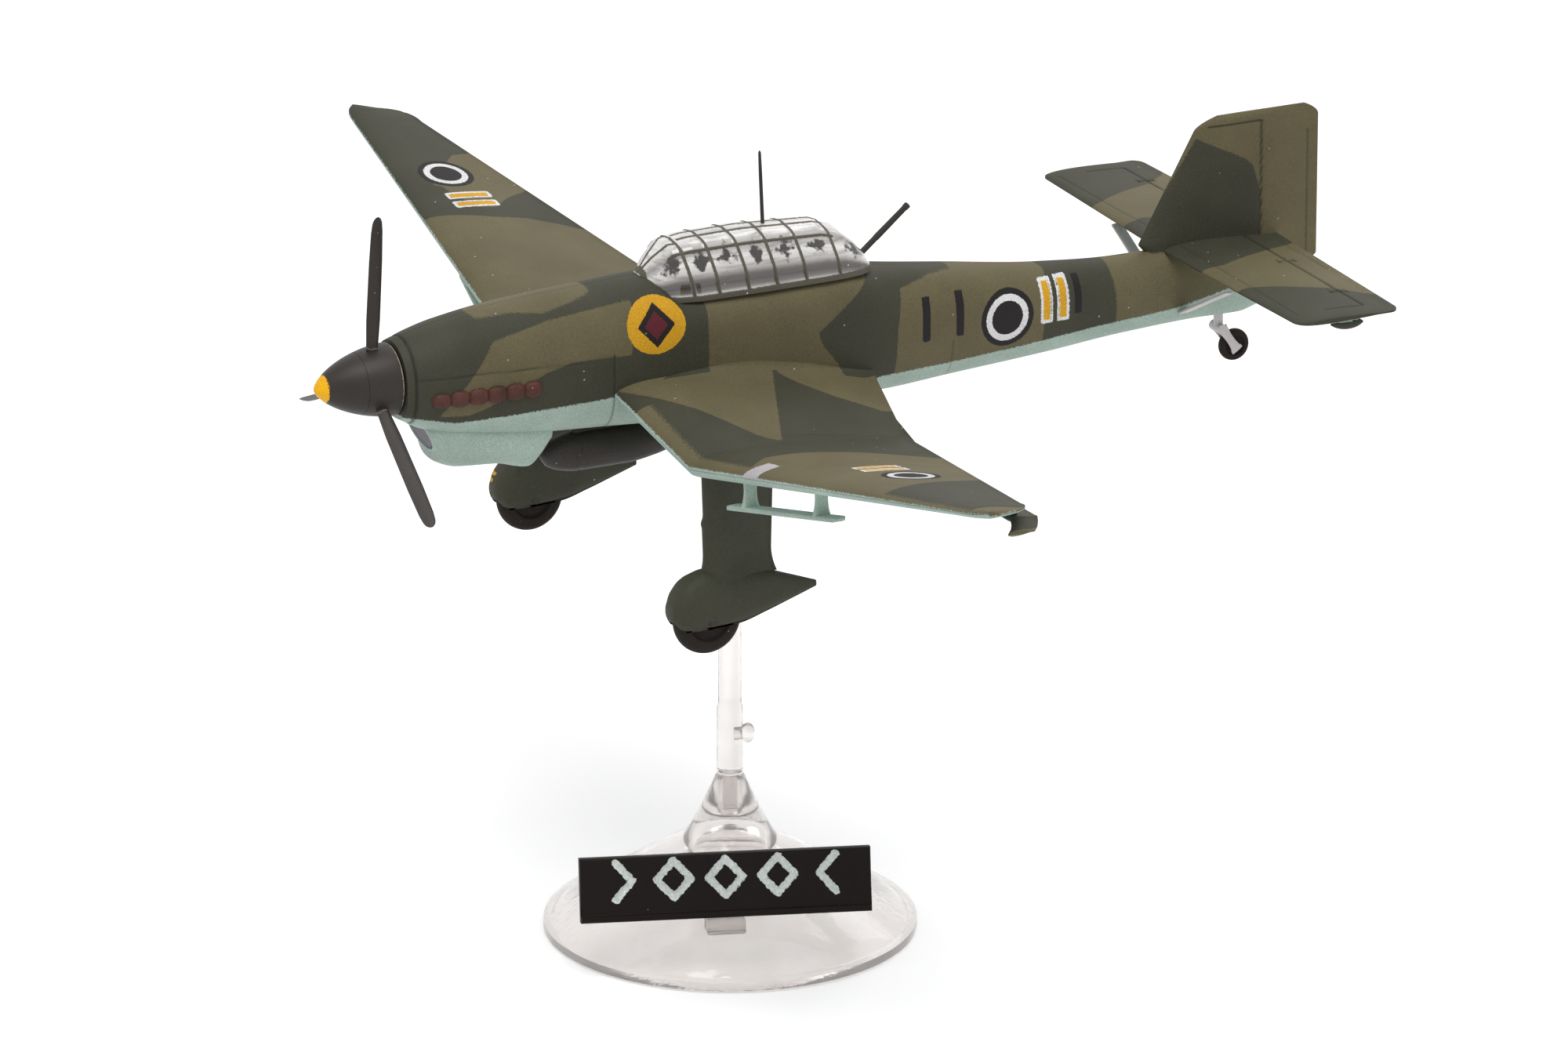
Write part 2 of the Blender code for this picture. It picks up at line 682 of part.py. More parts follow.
def make_fuselage(aircraft):
    """Two half shells with their fin halves, bored for the shaft, the peg and the tail wheel's stem."""
    bored = COLLAR_RADIUS + RUNNING_GAP
    chamber_front = COLLAR_FRONT + (CHAMBER_LENGTH - COLLAR_LENGTH) / 4
    shaft_bore = turned(
        [(0.0, SHAFT_RADIUS + RUNNING_GAP), (10.0, SHAFT_RADIUS + RUNNING_GAP)],
        (chamber_front - 0.5, 0, 0),
        (1, 0, 0),
    )
    chamber = turned([(0.0, bored), (CHAMBER_LENGTH, bored)], (chamber_front, 0, 0), (-1, 0, 0))
    peg_bore = rod(
        (-NOSE_AHEAD_OF_COLUMN, 0, fuselage_at(-NOSE_AHEAD_OF_COLUMN)[1] - 1.0),
        (-NOSE_AHEAD_OF_COLUMN, 0, column_foot() - THRUST_HEIGHT + PEG_LENGTH + SEAT_GAP),
        PEG_RADIUS + SOCKET_CLEARANCE,
        ROUND,
    )
    stem_bore = rod(
        (FORK_STEM[0], 0, FORK_STEM[1] - 1.0),
        (FORK_STEM[0], 0, fork_top() + SEAT_GAP),
        FORK_STEM_RADIUS + SOCKET_CLEARANCE,
    )
    cutters = [build("canopy_pocket", canopy_body(SEAT_GAP), None, parent=aircraft, cutter=True)]
    for name, shape in (
        ("shaft_bore", shaft_bore),
        ("collar_chamber", chamber),
        ("peg_bore", peg_bore),
        ("stem_bore", stem_bore),
    ):
        cutters.append(build(name, shape, None, parent=aircraft, cutter=True))
    for name, side in (("fuselage_left", 1), ("fuselage_right", -1)):
        half = build(name, fuselage_half(side), camouflage(), parent=aircraft)
        fin = build(name + "_fin", fin_half(side), None, parent=aircraft, cutter=True)
        combine(half, fin, "UNION")
        for cutter in cutters:
            combine(half, cutter)


def fork_top():
    """How far up the tail wheel's stem reaches into the fuselage."""
    return fuselage_at(FORK_STEM[0])[1] + 1.2


def make_canopy(aircraft):
    """Clear canopy, with the aerial mast in its roof and the gun in its back."""
    canopy = build("canopy", canopy_body(0.0), clear_plastic(), parent=aircraft)
    mast_ends = ((MAST_BASE[0], 0, MAST_BASE[1]), (MAST_TOP[0], 0, MAST_TOP[1]))
    gun_ends = ((GUN_BASE[0], 0, GUN_BASE[1]), (GUN_TIP[0], 0, GUN_TIP[1]))
    for name, ends, radius in (("aerial_mast", mast_ends, MAST_RADIUS), ("rear_gun", gun_ends, GUN_RADIUS)):
        foot, tip = ends
        build(name, rod(foot, tip, radius), black_plastic(), parent=aircraft)
        along = np.subtract(tip, foot) / np.linalg.norm(np.subtract(tip, foot))
        start = np.asarray(foot) - along * SEAT_GAP
        hole = rod(start, start + along * CUT_THROUGH, radius + SOCKET_CLEARANCE)
        combine(canopy, build(name + "_hole", hole, None, parent=aircraft, cutter=True))


def make_nose(aircraft, body_cutter):
    """Radiator housing under the cowl with its core, and the row of exhaust stubs on each side."""
    stations = (
        (-7.6, -2.6, -5.2, 1.7),
        (-8.3, -2.6, -6.0, 2.1),
        (-9.6, -2.7, -6.5, 2.35),
        (-12.6, -3.2, -6.7, 2.4),
        (-14.8, -3.4, -7.35, 2.3),
        (-15.5, -3.6, -6.6, 2.2),
        (-16.2, -3.8, -5.8, 2.1),
    )
    angle = np.linspace(0.0, 2.0 * math.pi, 20, endpoint=False)
    rings = []
    for x, top, bottom, half_width in stations:
        y = half_width * np.sign(np.cos(angle)) * np.abs(np.cos(angle)) ** 0.75
        z = (top + bottom) / 2 + (top - bottom) / 2 * np.sign(np.sin(angle)) * np.abs(np.sin(angle)) ** 0.75
        rings.append([(x, b, c) for b, c in zip(y, z)])
    housing = build("radiator_housing", loft(rings), underside(), parent=aircraft)
    combine(housing, body_cutter)

    centre = np.array([-7.9, 0.0, -4.7])
    facing = np.array([0.8, 0.0, -0.35])
    across = np.array([0.0, 1.0, 0.0])
    upward = np.array([0.35, 0.0, 0.8]) / np.linalg.norm([0.35, 0.8])
    facing = facing / np.linalg.norm(facing)

    def oval(grow, back, front):
        return loft(
            [
                [
                    centre
                    + facing * depth
                    + across * (CORE_HALF_WIDTH + grow) * math.cos(a)
                    + upward * (CORE_HALF_HEIGHT + grow) * math.sin(a)
                    for a in angle
                ]
                for depth in (back, front)
            ]
        )

    pocket = build("core_pocket", oval(SEAT_GAP, -1.2 - SEAT_GAP, 3.0), None, parent=aircraft, cutter=True)
    combine(housing, pocket)
    core = build("radiator_core", oval(0.0, -1.2, -0.55), black_plastic(), parent=aircraft)
    combine(core, body_cutter)

    count = EXHAUST_STUBS * 4 + 1
    for name, side in (("exhaust_left", 1), ("exhaust_right", -1)):
        rings = []
        for k, x in enumerate(np.linspace(*EXHAUST_SPAN, count)):
            bump = abs(math.sin(math.pi * EXHAUST_STUBS * k / (count - 1)))
            ends = min(k, count - 1 - k, 2) / 2
            size = 0.72 + 0.28 * bump if ends else 0.35
            swell = np.linspace(-0.5 * math.pi, 0.5 * math.pi, 7)
            z = EXHAUST_HEIGHT + EXHAUST_HALF_HEIGHT * size * np.sin(swell)
            half_width = fuselage_at(x)[2] + SEAM / 2
            y = half_width + EXHAUST_DEPTH * size * np.cos(swell)
            ring = [(x, side * b, c) for b, c in zip(y, z)]
            ring += [(x, side * (half_width - 0.6), z[-1]), (x, side * (half_width - 0.6), z[0])]
            rings.append(ring)
        stubs = build(name, loft(rings), exhaust_paint(), parent=aircraft)
        combine(stubs, body_cutter)


def make_wings(aircraft, body_cutter):
    """Upper and lower wing skins, the strips behind them and the brake bars under them."""
    for word, side in (("left", 1), ("right", -1)):
        for skin, upper in (("wing_upper_", True), ("wing_lower_", False)):
            finish = camouflage() if upper else underside()
            piece = build(skin + word, wing_skin(side, upper), finish, parent=aircraft)
            combine(piece, body_cutter)
        flap = hung_strip("flap_" + word, side, FLAP_SPAN, FLAP_OVERHANG, aircraft)
        combine(flap, body_cutter)
        hung_strip("aileron_" + word, side, AILERON_SPAN, AILERON_OVERHANG, aircraft)
        dive_brake("dive_brake_" + word, side, aircraft)


def spat_ring(x, track):
    """Cross-section of the wheel spat at station x, rounded and slightly square."""
    at = np.array([SPAT_TAIL, -28.0, -26.0, -24.0, WHEEL_CENTRE[0], -20.3, -19.7, SPAT_NOSE])
    top = np.array([-13.5, -12.85, -12.15, -11.7, SPAT_TOP, -12.1, -12.75, -13.75])
    low = np.array([-14.0, -14.45, -14.95, -15.4, SPAT_BOTTOM, SPAT_BOTTOM, -15.3, -14.85])
    wide = np.array([0.12, 0.4, 0.72, 0.93, 1.0, 0.98, 0.92, 0.65]) * SPAT_HALF_WIDTH
    upper, lower, half = (float(np.interp(x, at, values)) for values in (top, low, wide))
    angle = np.linspace(0.0, 2.0 * math.pi, 16, endpoint=False)
    y = track + half * np.sign(np.cos(angle)) * np.abs(np.cos(angle)) ** 0.7
    z = (upper + lower) / 2 + (upper - lower) / 2 * np.sign(np.sin(angle)) * np.abs(np.sin(angle)) ** 0.7
    return [(x, b, c) for b, c in zip(y, z)]


def make_gear(aircraft):
    """Trousered leg with its spat, the wheel that rolls inside it, and the axle pin."""
    stations = (SPAT_NOSE, -19.4, -19.7, -20.3, WHEEL_CENTRE[0], -24.0, -26.0, -28.0, SPAT_TAIL)
    wheel_x, wheel_z = WHEEL_CENTRE
    for word, side in (("left", 1), ("right", -1)):
        track = GEAR_TRACK
        gear = build(
            "gear_leg_" + word,
            mirrored(loft([spat_ring(x, track) for x in stations]), side),
            camouflage(),
            parent=aircraft,
        )
        leg_top = wing_at(track)[2] + 0.4
        rings = []
        for share in (0.0, 0.35, 1.0):
            z = leg_top + (SPAT_TOP - 0.7 - leg_top) * share
            along, half = foil(FOIL_POINTS, LEG_THICKNESS)
            x = LEG_FRONT - 0.3 * share - (LEG_CHORD - 0.5 * share) * along
            port = [(a, track + h, z) for a, h in zip(x, half)]
            starboard = [(a, track - h, z) for a, h in zip(x, half)]
            rings.append(port + starboard[::-1])
        leg = build("leg_" + word, mirrored(loft(rings), side), None, parent=aircraft, cutter=True)
        combine(gear, leg, "UNION")
        combine(gear, wing_cutters[side])
        half_pocket = WHEEL_WIDTH / 2 + RUNNING_GAP
        pocket = rod(
            (wheel_x, track - half_pocket, wheel_z),
            (wheel_x, track + half_pocket, wheel_z),
            WHEEL_RADIUS + RUNNING_GAP,
            TYRE_SEGMENTS,
        )
        pocket = mirrored(pocket, side)
        combine(gear, build("wheel_pocket_" + word, pocket, None, parent=aircraft, cutter=True))
        reach = SPAT_HALF_WIDTH - 0.15
        bore = rod(
            (wheel_x, track - reach - SEAT_GAP, wheel_z),
            (wheel_x, track + reach + SEAT_GAP, wheel_z),
            AXLE_RADIUS + SOCKET_CLEARANCE,
        )
        bore = mirrored(bore, side)
        combine(gear, build("axle_bore_" + word, bore, None, parent=aircraft, cutter=True))
        axle = rod((wheel_x, track - reach, wheel_z), (wheel_x, track + reach, wheel_z), AXLE_RADIUS)
        build("wheel_axle_" + word, mirrored(axle, side), silver_paint(), parent=aircraft)
        tread = wheel(wheel_x, wheel_z, track, WHEEL_RADIUS, WHEEL_WIDTH, AXLE_RADIUS + RUNNING_GAP)
        build(
            "main_wheel_" + word,
            mirrored(tread, side),
            tyre_paint(),
            pivot=(wheel_x, side * track, wheel_z),
            parent=aircraft,
        )


def wheel(x, z, y, radius, width, bore):
    """A tyre with a rounded tread and a bore for its axle."""
    half = width / 2
    tread = [(-1.0, 0.55), (-1.0, 0.8), (-0.6, 0.96), (0.0, 1.0), (0.6, 0.96), (1.0, 0.8), (1.0, 0.55)]
    profile = [(-half, bore)] + [(half * across, radius * out) for across, out in tread] + [(half, bore)]
    points, faces = turned(profile, (x, y, z), (0, 1, 0), TYRE_SEGMENTS)
    faces = faces[:-2]
    last = (len(profile) - 1) * TYRE_SEGMENTS
    for k in range(TYRE_SEGMENTS):
        step = (k + 1) % TYRE_SEGMENTS
        faces.append((last + k, last + step, step, k))
    return points, faces


def make_tail(aircraft, body_cutter):
    """Tailplane halves, their struts and the castoring tail wheel's fork, wheel and axle."""
    fin_cutter = build("fin_space", fin_body(SEAT_GAP), None, parent=aircraft, cutter=True)
    for word, side in (("left", 1), ("right", -1)):
        rings = []
        for y, edges, thick in (
            (0.3, TAIL_EDGES_ROOT, TAIL_THICKNESS_ROOT),
            (TAIL_HALF_SPAN - 0.6, TAIL_EDGES_TIP, TAIL_THICKNESS_TIP),
            (TAIL_HALF_SPAN, (TAIL_EDGES_TIP[0] - 0.5, TAIL_EDGES_TIP[1] + 0.3), TAIL_THICKNESS_TIP * 0.5),
        ):
            along, half = foil(FOIL_POINTS, thick)
            x = edges[0] + (edges[1] - edges[0]) * along
            top = [(a, y, TAIL_HEIGHT + h) for a, h in zip(x, half)]
            under = [(a, y, TAIL_HEIGHT - h) for a, h in zip(x, half)]
            rings.append(top + under[::-1])
        piece = build("stabiliser_" + word, mirrored(loft(rings), side), camouflage(), parent=aircraft)
        combine(piece, fin_cutter)
        combine(piece, body_cutter)
        foot = np.array(STRUT_FOOT)
        share = STRUT_HEAD[1] / TAIL_HALF_SPAN
        thick = TAIL_THICKNESS_ROOT + (TAIL_THICKNESS_TIP - TAIL_THICKNESS_ROOT) * share
        under = TAIL_HEIGHT - thick / 2 - SEAT_GAP - STRUT_RADIUS
        head = np.array([STRUT_HEAD[0], STRUT_HEAD[1], under])
        strut = build(
            "stabiliser_strut_" + word,
            mirrored(rod(foot - (head - foot) * 0.15, head, STRUT_RADIUS), side),
            silver_paint(),
            parent=aircraft,
        )
        combine(strut, body_cutter)

    wheel_x, wheel_z = TAIL_WHEEL_CENTRE
    stem_x, stem_z = FORK_STEM
    gap = TAIL_WHEEL_WIDTH / 2 + RUNNING_GAP
    arm = FORK_ARM_THICKNESS
    yoke = stem_z - 0.35
    stem = rod((stem_x, 0, yoke - 0.2), (stem_x, 0, fork_top()), FORK_STEM_RADIUS)
    fork = build("tail_fork", stem, silver_paint(), parent=aircraft)
    bridge = box((stem_x - 0.45, -gap - arm, yoke - 0.3), (stem_x + 0.45, gap + arm, yoke + 0.05))
    combine(fork, build("fork_bridge", bridge, None, parent=aircraft, cutter=True), "UNION")
    for word, side in (("left", 1), ("right", -1)):
        inner = side * gap
        outer = side * (gap + arm)
        outline = [
            (stem_x + 0.4, yoke - 0.1),
            (stem_x - 0.4, yoke - 0.1),
            (wheel_x - 0.35, wheel_z),
            (wheel_x - 0.2, wheel_z - 0.35),
            (wheel_x + 0.2, wheel_z - 0.35),
            (wheel_x + 0.35, wheel_z),
        ]
        plate = loft([[(x, y, z) for x, z in outline] for y in (inner, outer)])
        combine(fork, build("fork_arm_" + word, plate, None, parent=aircraft, cutter=True), "UNION")
    bore = rod(
        (wheel_x, -gap - CUT_THROUGH, wheel_z),
        (wheel_x, gap + CUT_THROUGH, wheel_z),
        TAIL_AXLE_RADIUS + SOCKET_CLEARANCE,
    )
    combine(fork, build("tail_axle_bore", bore, None, parent=aircraft, cutter=True))
    axle = rod((wheel_x, -gap - arm, wheel_z), (wheel_x, gap + arm, wheel_z), TAIL_AXLE_RADIUS)
    build("tail_axle", axle, silver_paint(), parent=aircraft)
    tread = wheel(wheel_x, wheel_z, 0.0, TAIL_WHEEL_RADIUS, TAIL_WHEEL_WIDTH, TAIL_AXLE_RADIUS + RUNNING_GAP)
    build(
        "tail_wheel",
        tread,
        tyre_paint(),
        pivot=(wheel_x, 0.0, wheel_z),
        parent=aircraft,
    )


def make_bomb(aircraft, body_cutter):
    """The bomb under the belly, hung on a short pylon."""
    length = BOMB_LENGTH
    profile = [(0.0, 0.1), (0.4, 0.75), (1.3, 1.15), (2.6, BOMB_RADIUS), (6.2, BOMB_RADIUS)]
    profile += [(8.4, BOMB_RADIUS * 0.8), (length * 0.85, BOMB_RADIUS * 0.42), (length, 0.25)]
    shape = turned(profile, (BOMB_NOSE, 0, BOMB_AXIS), (-1, 0, 0))
    bomb = build("bomb", shape, camouflage(), parent=aircraft)
    fin_front = BOMB_NOSE - length * 0.74
    fin_back = BOMB_NOSE - length + 0.1
    for number, angle in enumerate((math.pi / 4, -math.pi / 4)):
        spread = np.array([0.0, math.cos(angle), math.sin(angle)])
        normal = np.array([0.0, -math.sin(angle), math.cos(angle)])
        outline = [(fin_front, 0.5), (fin_back, BOMB_RADIUS), (fin_back, -BOMB_RADIUS), (fin_front, -0.5)]
        rings = []
        for t in (-BOMB_FIN_THICKNESS / 2, BOMB_FIN_THICKNESS / 2):
            rings.append([np.array([x, 0.0, BOMB_AXIS]) + spread * s + normal * t for x, s in outline])
        combine(bomb, build(f"bomb_fin_{number}", loft(rings), None, parent=aircraft, cutter=True), "UNION")
    pylon = box(
        (BOMB_NOSE - 6.0, -0.4, BOMB_AXIS + BOMB_RADIUS * 0.5),
        (BOMB_NOSE - 3.2, 0.4, fuselage_at(BOMB_NOSE - 4.0)[1] + 0.8),
    )
    hanger = build("bomb_pylon", pylon, None, parent=aircraft, cutter=True)
    combine(hanger, body_cutter)
    combine(bomb, hanger, "UNION")


def spinner_radius(x):
    """Radius of the ogive spinner at distance -x behind its tip."""
    share = min(-x / SPINNER_LENGTH, 1.0)
    return SPINNER_RADIUS * (1.0 - (1.0 - share) ** 2.1) ** 0.8


def make_propeller(aircraft):
    """Spinner cap, the moulded hub with its blades, and the shaft with its retaining collar."""
    pivot = (PROP_PLANE, 0.0, 0.0)
    tip_profile = [(0.0, 0.12)]
    tip_profile += [(-x, spinner_radius(x)) for x in np.linspace(-0.15, SPINNER_SPLIT, 7)]
    cap = turned(tip_profile, (0, 0, 0), (-1, 0, 0))
    build("spinner", cap, black_plastic(), pivot=pivot, parent=aircraft)
    hub_front = SPINNER_SPLIT - SEAT_GAP
    hub_profile = [(-x, spinner_radius(x)) for x in np.linspace(hub_front, -SPINNER_LENGTH, 5)]
    hub_shape = turned(hub_profile, (0, 0, 0), (-1, 0, 0))
    hub = build("propeller", hub_shape, black_plastic(), pivot=pivot, parent=aircraft)
    for number in range(BLADE_COUNT):
        angle = BLADE_ANGLE + number * 2.0 * math.pi / BLADE_COUNT
        outward = np.array([0.0, math.sin(angle), math.cos(angle)])
        around = np.array([0.0, math.cos(angle), -math.sin(angle)])
        rings = []
        for share in (0.0, 0.12, 0.35, 0.6, 0.85, 0.96, 1.0):
            reach = BLADE_ROOT + (PROP_RADIUS - BLADE_ROOT) * share
            pitch = math.radians(58 - 36 * share)
            width = BLADE_WIDTH * float(np.interp(share, *zip(*BLADE_OUTLINE)))
            thick = BLADE_THICKNESS * (1.5 - share)
            chord = around * math.cos(pitch) + np.array([1.0, 0.0, 0.0]) * math.sin(pitch)
            normal = np.cross(chord, outward)
            loop = np.linspace(0.0, 2.0 * math.pi, 10, endpoint=False)
            centre = np.array([PROP_PLANE, 0.0, 0.0]) + outward * reach
            ring = [centre + chord * width / 2 * math.cos(t) + normal * thick / 2 * math.sin(t) for t in loop]
            rings.append(ring)
        blade = build(f"blade_{number + 1}", loft(rings), None, parent=aircraft, cutter=True)
        combine(hub, blade, "UNION")
    bore_depth = -SPINNER_LENGTH + 1.6
    bore = rod((bore_depth, 0, 0), (-SPINNER_LENGTH - 1.0, 0, 0), SHAFT_RADIUS + SOCKET_CLEARANCE)
    combine(hub, build("hub_bore", bore, None, parent=aircraft, cutter=True))
    front = bore_depth - SEAT_GAP
    collar = front - COLLAR_FRONT
    profile = [(0.0, SHAFT_RADIUS), (collar, SHAFT_RADIUS), (collar, COLLAR_RADIUS)]
    profile += [(collar + COLLAR_LENGTH, COLLAR_RADIUS), (collar + COLLAR_LENGTH, SHAFT_RADIUS)]
    profile += [(front - SHAFT_END, SHAFT_RADIUS)]
    shaft = turned(profile, (front, 0, 0), (-1, 0, 0))
    build("propeller_shaft", shaft, silver_paint(), pivot=pivot, parent=aircraft)


for old in list(bpy.data.objects):
    bpy.data.objects.remove(old, do_unlink=True)

aircraft_frame = bpy.data.objects.new("aircraft_frame", None)
aircraft_frame.location = (NOSE_AHEAD_OF_COLUMN * MM, 0.0, THRUST_HEIGHT * MM)
bpy.context.scene.collection.objects.link(aircraft_frame)

body_space = build("body_space", fuselage_body(SEAT_GAP), None, parent=aircraft_frame, cutter=True)
wing_cutters = {}
for wing_word, wing_side in (("left", 1), ("right", -1)):
    space = wing_body(wing_side, SEAT_GAP)
    wing_cutters[wing_side] = build("wing_space_" + wing_word, space, None, parent=aircraft_frame, cutter=True)

make_stand()
make_fuselage(aircraft_frame)
make_canopy(aircraft_frame)
make_nose(aircraft_frame, body_space)
make_wings(aircraft_frame, body_space)
make_gear(aircraft_frame)
make_tail(aircraft_frame, body_space)
make_bomb(aircraft_frame, body_space)
make_propeller(aircraft_frame)
settle_cuts()
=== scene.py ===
"""Looks of the display model: a clear stand that holds a camouflaged dive bomber over its nameplate."""

import bpy
import numpy as np
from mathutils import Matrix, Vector


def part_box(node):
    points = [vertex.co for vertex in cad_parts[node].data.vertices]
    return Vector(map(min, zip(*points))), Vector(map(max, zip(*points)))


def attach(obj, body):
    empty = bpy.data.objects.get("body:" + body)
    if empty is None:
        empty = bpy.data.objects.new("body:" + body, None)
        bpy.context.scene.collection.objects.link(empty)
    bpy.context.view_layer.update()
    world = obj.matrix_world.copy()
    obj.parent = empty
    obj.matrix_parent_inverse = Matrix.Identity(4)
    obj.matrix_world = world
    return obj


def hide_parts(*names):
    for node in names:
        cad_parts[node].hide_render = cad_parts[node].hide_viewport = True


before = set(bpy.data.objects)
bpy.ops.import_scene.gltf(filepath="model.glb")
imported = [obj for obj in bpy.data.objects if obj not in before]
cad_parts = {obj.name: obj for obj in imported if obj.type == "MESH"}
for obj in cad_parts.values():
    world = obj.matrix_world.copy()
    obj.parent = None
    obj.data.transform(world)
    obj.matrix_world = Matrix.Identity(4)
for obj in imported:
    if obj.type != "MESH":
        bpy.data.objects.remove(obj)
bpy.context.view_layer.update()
MM = 0.001
SIDES = (("left", 1), ("right", -1))

# ---------------------------------------------------------------- studio
# A white table and a white room. The floor and the room look white to the camera, to gloss and
# through clear plastic, while the light that falls on the model stays at a plain level.
scene = bpy.context.scene
scene.view_settings.view_transform = "Standard"
camera = bpy.data.objects.new("camera", bpy.data.cameras.new("camera"))
camera.data.lens = 262.87
camera.data.sensor_width = 36.0
camera.data.clip_end = 20.0
camera.location = (0.31971, 0.64819, 0.28343)
camera.rotation_euler = Vector((-0.4215, -0.8438, -0.3322)).to_track_quat("-Z", "Y").to_euler()
scene.collection.objects.link(camera)
scene.camera = camera


def tint(red, green, blue):
    """A paint chip's red, green and blue from 0 to 255, as the linear colour that a shader takes."""
    share = np.array([red, green, blue]) / 255.0
    linear = np.where(share <= 0.04045, share / 12.92, ((share + 0.055) / 1.055) ** 2.4)
    return (*linear.tolist(), 1.0)


def add(tree, kind, feeds=None, **settings):
    """One node with its settings, and with its inputs fed by values or by other nodes' outputs."""
    made = tree.nodes.new(kind)
    for name, value in settings.items():
        setattr(made, name, value)
    for name, value in (feeds or {}).items():
        if isinstance(value, bpy.types.NodeSocket):
            tree.links.new(value, made.inputs[name])
        else:
            made.inputs[name].default_value = value
    return made


def number(tree, operation, first, second=0.0):
    """The output of one sum on two numbers or sockets."""
    return add(tree, "ShaderNodeMath", {0: first, 1: second}, operation=operation).outputs[0]


def ranged(tree, value, low=0.0, high=1.0, to_low=0.0, to_high=1.0):
    """The output of a number carried from one range to another, and held at its ends."""
    feeds = {"Value": value, "From Min": low, "From Max": high, "To Min": to_low, "To Max": to_high}
    return add(tree, "ShaderNodeMapRange", feeds).outputs[0]


def finish(name, **plain):
    """A new material with these plain values on its shader, its node tree and its shader."""
    made = bpy.data.materials.new(name)
    made.use_nodes = True
    shader = made.node_tree.nodes["Principled BSDF"]
    for key, value in plain.items():
        shader.inputs[key.replace("_", " ")].default_value = value
    return made, made.node_tree, shader


def white_to_the_eye(tree, plain, extra):
    """A strength that is plain for the light on the model, and extra for camera, gloss and clear rays."""
    rays = add(tree, "ShaderNodeLightPath").outputs
    seen = number(tree, "MAXIMUM", rays["Is Camera Ray"], rays["Is Glossy Ray"])
    seen = number(tree, "MAXIMUM", seen, rays["Is Transmission Ray"])
    return ranged(tree, seen, to_low=plain, to_high=extra)


ROOM_LIGHT, ROOM_SEEN = 0.55, 1.0
TABLE_SEEN = 0.34
WHITE = (1.0, 1.0, 1.0, 1.0)
world = bpy.data.worlds.new("white_room")
world.use_nodes = True
scene.world = world
room = world.node_tree.nodes["Background"]
room.inputs["Color"].default_value = WHITE
world.node_tree.links.new(white_to_the_eye(world.node_tree, ROOM_LIGHT, ROOM_SEEN), room.inputs["Strength"])

for name, place, size, power in (
    ("key_light", (0.10, 0.22, 0.66), 0.40, 2.3),
    ("far_light", (-0.40, -0.30, 0.50), 0.40, 0.7),
):
    lamp = bpy.data.objects.new(name, bpy.data.lights.new(name, "AREA"))
    lamp.data.size = size
    lamp.data.energy = power
    lamp.location = place
    lamp.rotation_euler = (Vector((0.0, 0.0, 0.03)) - Vector(place)).to_track_quat("-Z", "Y").to_euler()
    scene.collection.objects.link(lamp)

table = bpy.data.meshes.new("white_table")
table.from_pydata([(-4, -4, 0), (4, -4, 0), (4, 4, 0), (-4, 4, 0)], [], [(0, 1, 2, 3)])
floor = bpy.data.objects.new("white_table", table)
scene.collection.objects.link(floor)
card, tree, shader = finish("white_card", Roughness=0.9, Specular_IOR_Level=0.0, Emission_Color=WHITE)
shader.inputs["Base Color"].default_value = (0.86, 0.86, 0.86, 1.0)
tree.links.new(white_to_the_eye(tree, 0.0, TABLE_SEEN), shader.inputs["Emission Strength"])
table.materials.append(card)

# ---------------------------------------------------------------- clear stand
# The base is one hollow moulding in clear polystyrene: a round foot that rises to a cone, with a lug
# for the nameplate. A clear column stands in its socket and turns there; it has a moulding nub.


def quads(rows, columns, around=True, looped=False):
    """Corner numbers of the faces between neighbouring rows of a grid. Around joins its last column to
    its first, and looped joins its last row to its first."""
    row = np.arange(rows if looped else rows - 1)[:, None]
    column = np.arange(columns if around else columns - 1)[None]
    below, beside = (row + 1) % rows, (column + 1) % columns
    row, below = row * columns, below * columns
    return np.stack([row + column, row + beside, below + beside, below + column], -1).reshape(-1, 4)


def lofted(rings):
    """Rows of points carried along a path, joined round, with a fan to its middle at each end."""
    rings = np.asarray(rings, float)
    count, around = rings.shape[:2]
    edge = np.arange(around)
    turn = (edge + 1) % around
    last = (count - 1) * around
    points = np.concatenate([rings.reshape(-1, 3), rings[0].mean(0)[None], rings[-1].mean(0)[None]])
    front = np.stack([turn, edge, np.full(around, count * around)], -1)
    back = np.stack([last + edge, last + turn, np.full(around, count * around + 1)], -1)
    return points, [quads(count, around), np.concatenate([front, back])]


def turned(profile, start, direction, around=64, looped=False):
    """A turned shape: each (distance along the axis, radius) becomes a circle round the axis. Looped
    joins the last circle to the first, for a ring with a hole."""
    along = np.asarray(direction, float) / np.linalg.norm(direction)
    side = np.cross(along, (0.0, 1.0, 0.0) if abs(along[1]) < 0.9 else (1.0, 0.0, 0.0))
    side /= np.linalg.norm(side)
    across = np.cross(along, side)
    angle = np.linspace(0.0, 2.0 * np.pi, around, endpoint=False)[None, :, None]
    distance, radius = np.asarray(profile, float).T[:, :, None, None]
    rings = np.asarray(start) + along * distance + radius * (np.cos(angle) * side + np.sin(angle) * across)
    if looped:
        return rings.reshape(-1, 3), [quads(*rings.shape[:2], looped=True)]
    return lofted(rings)


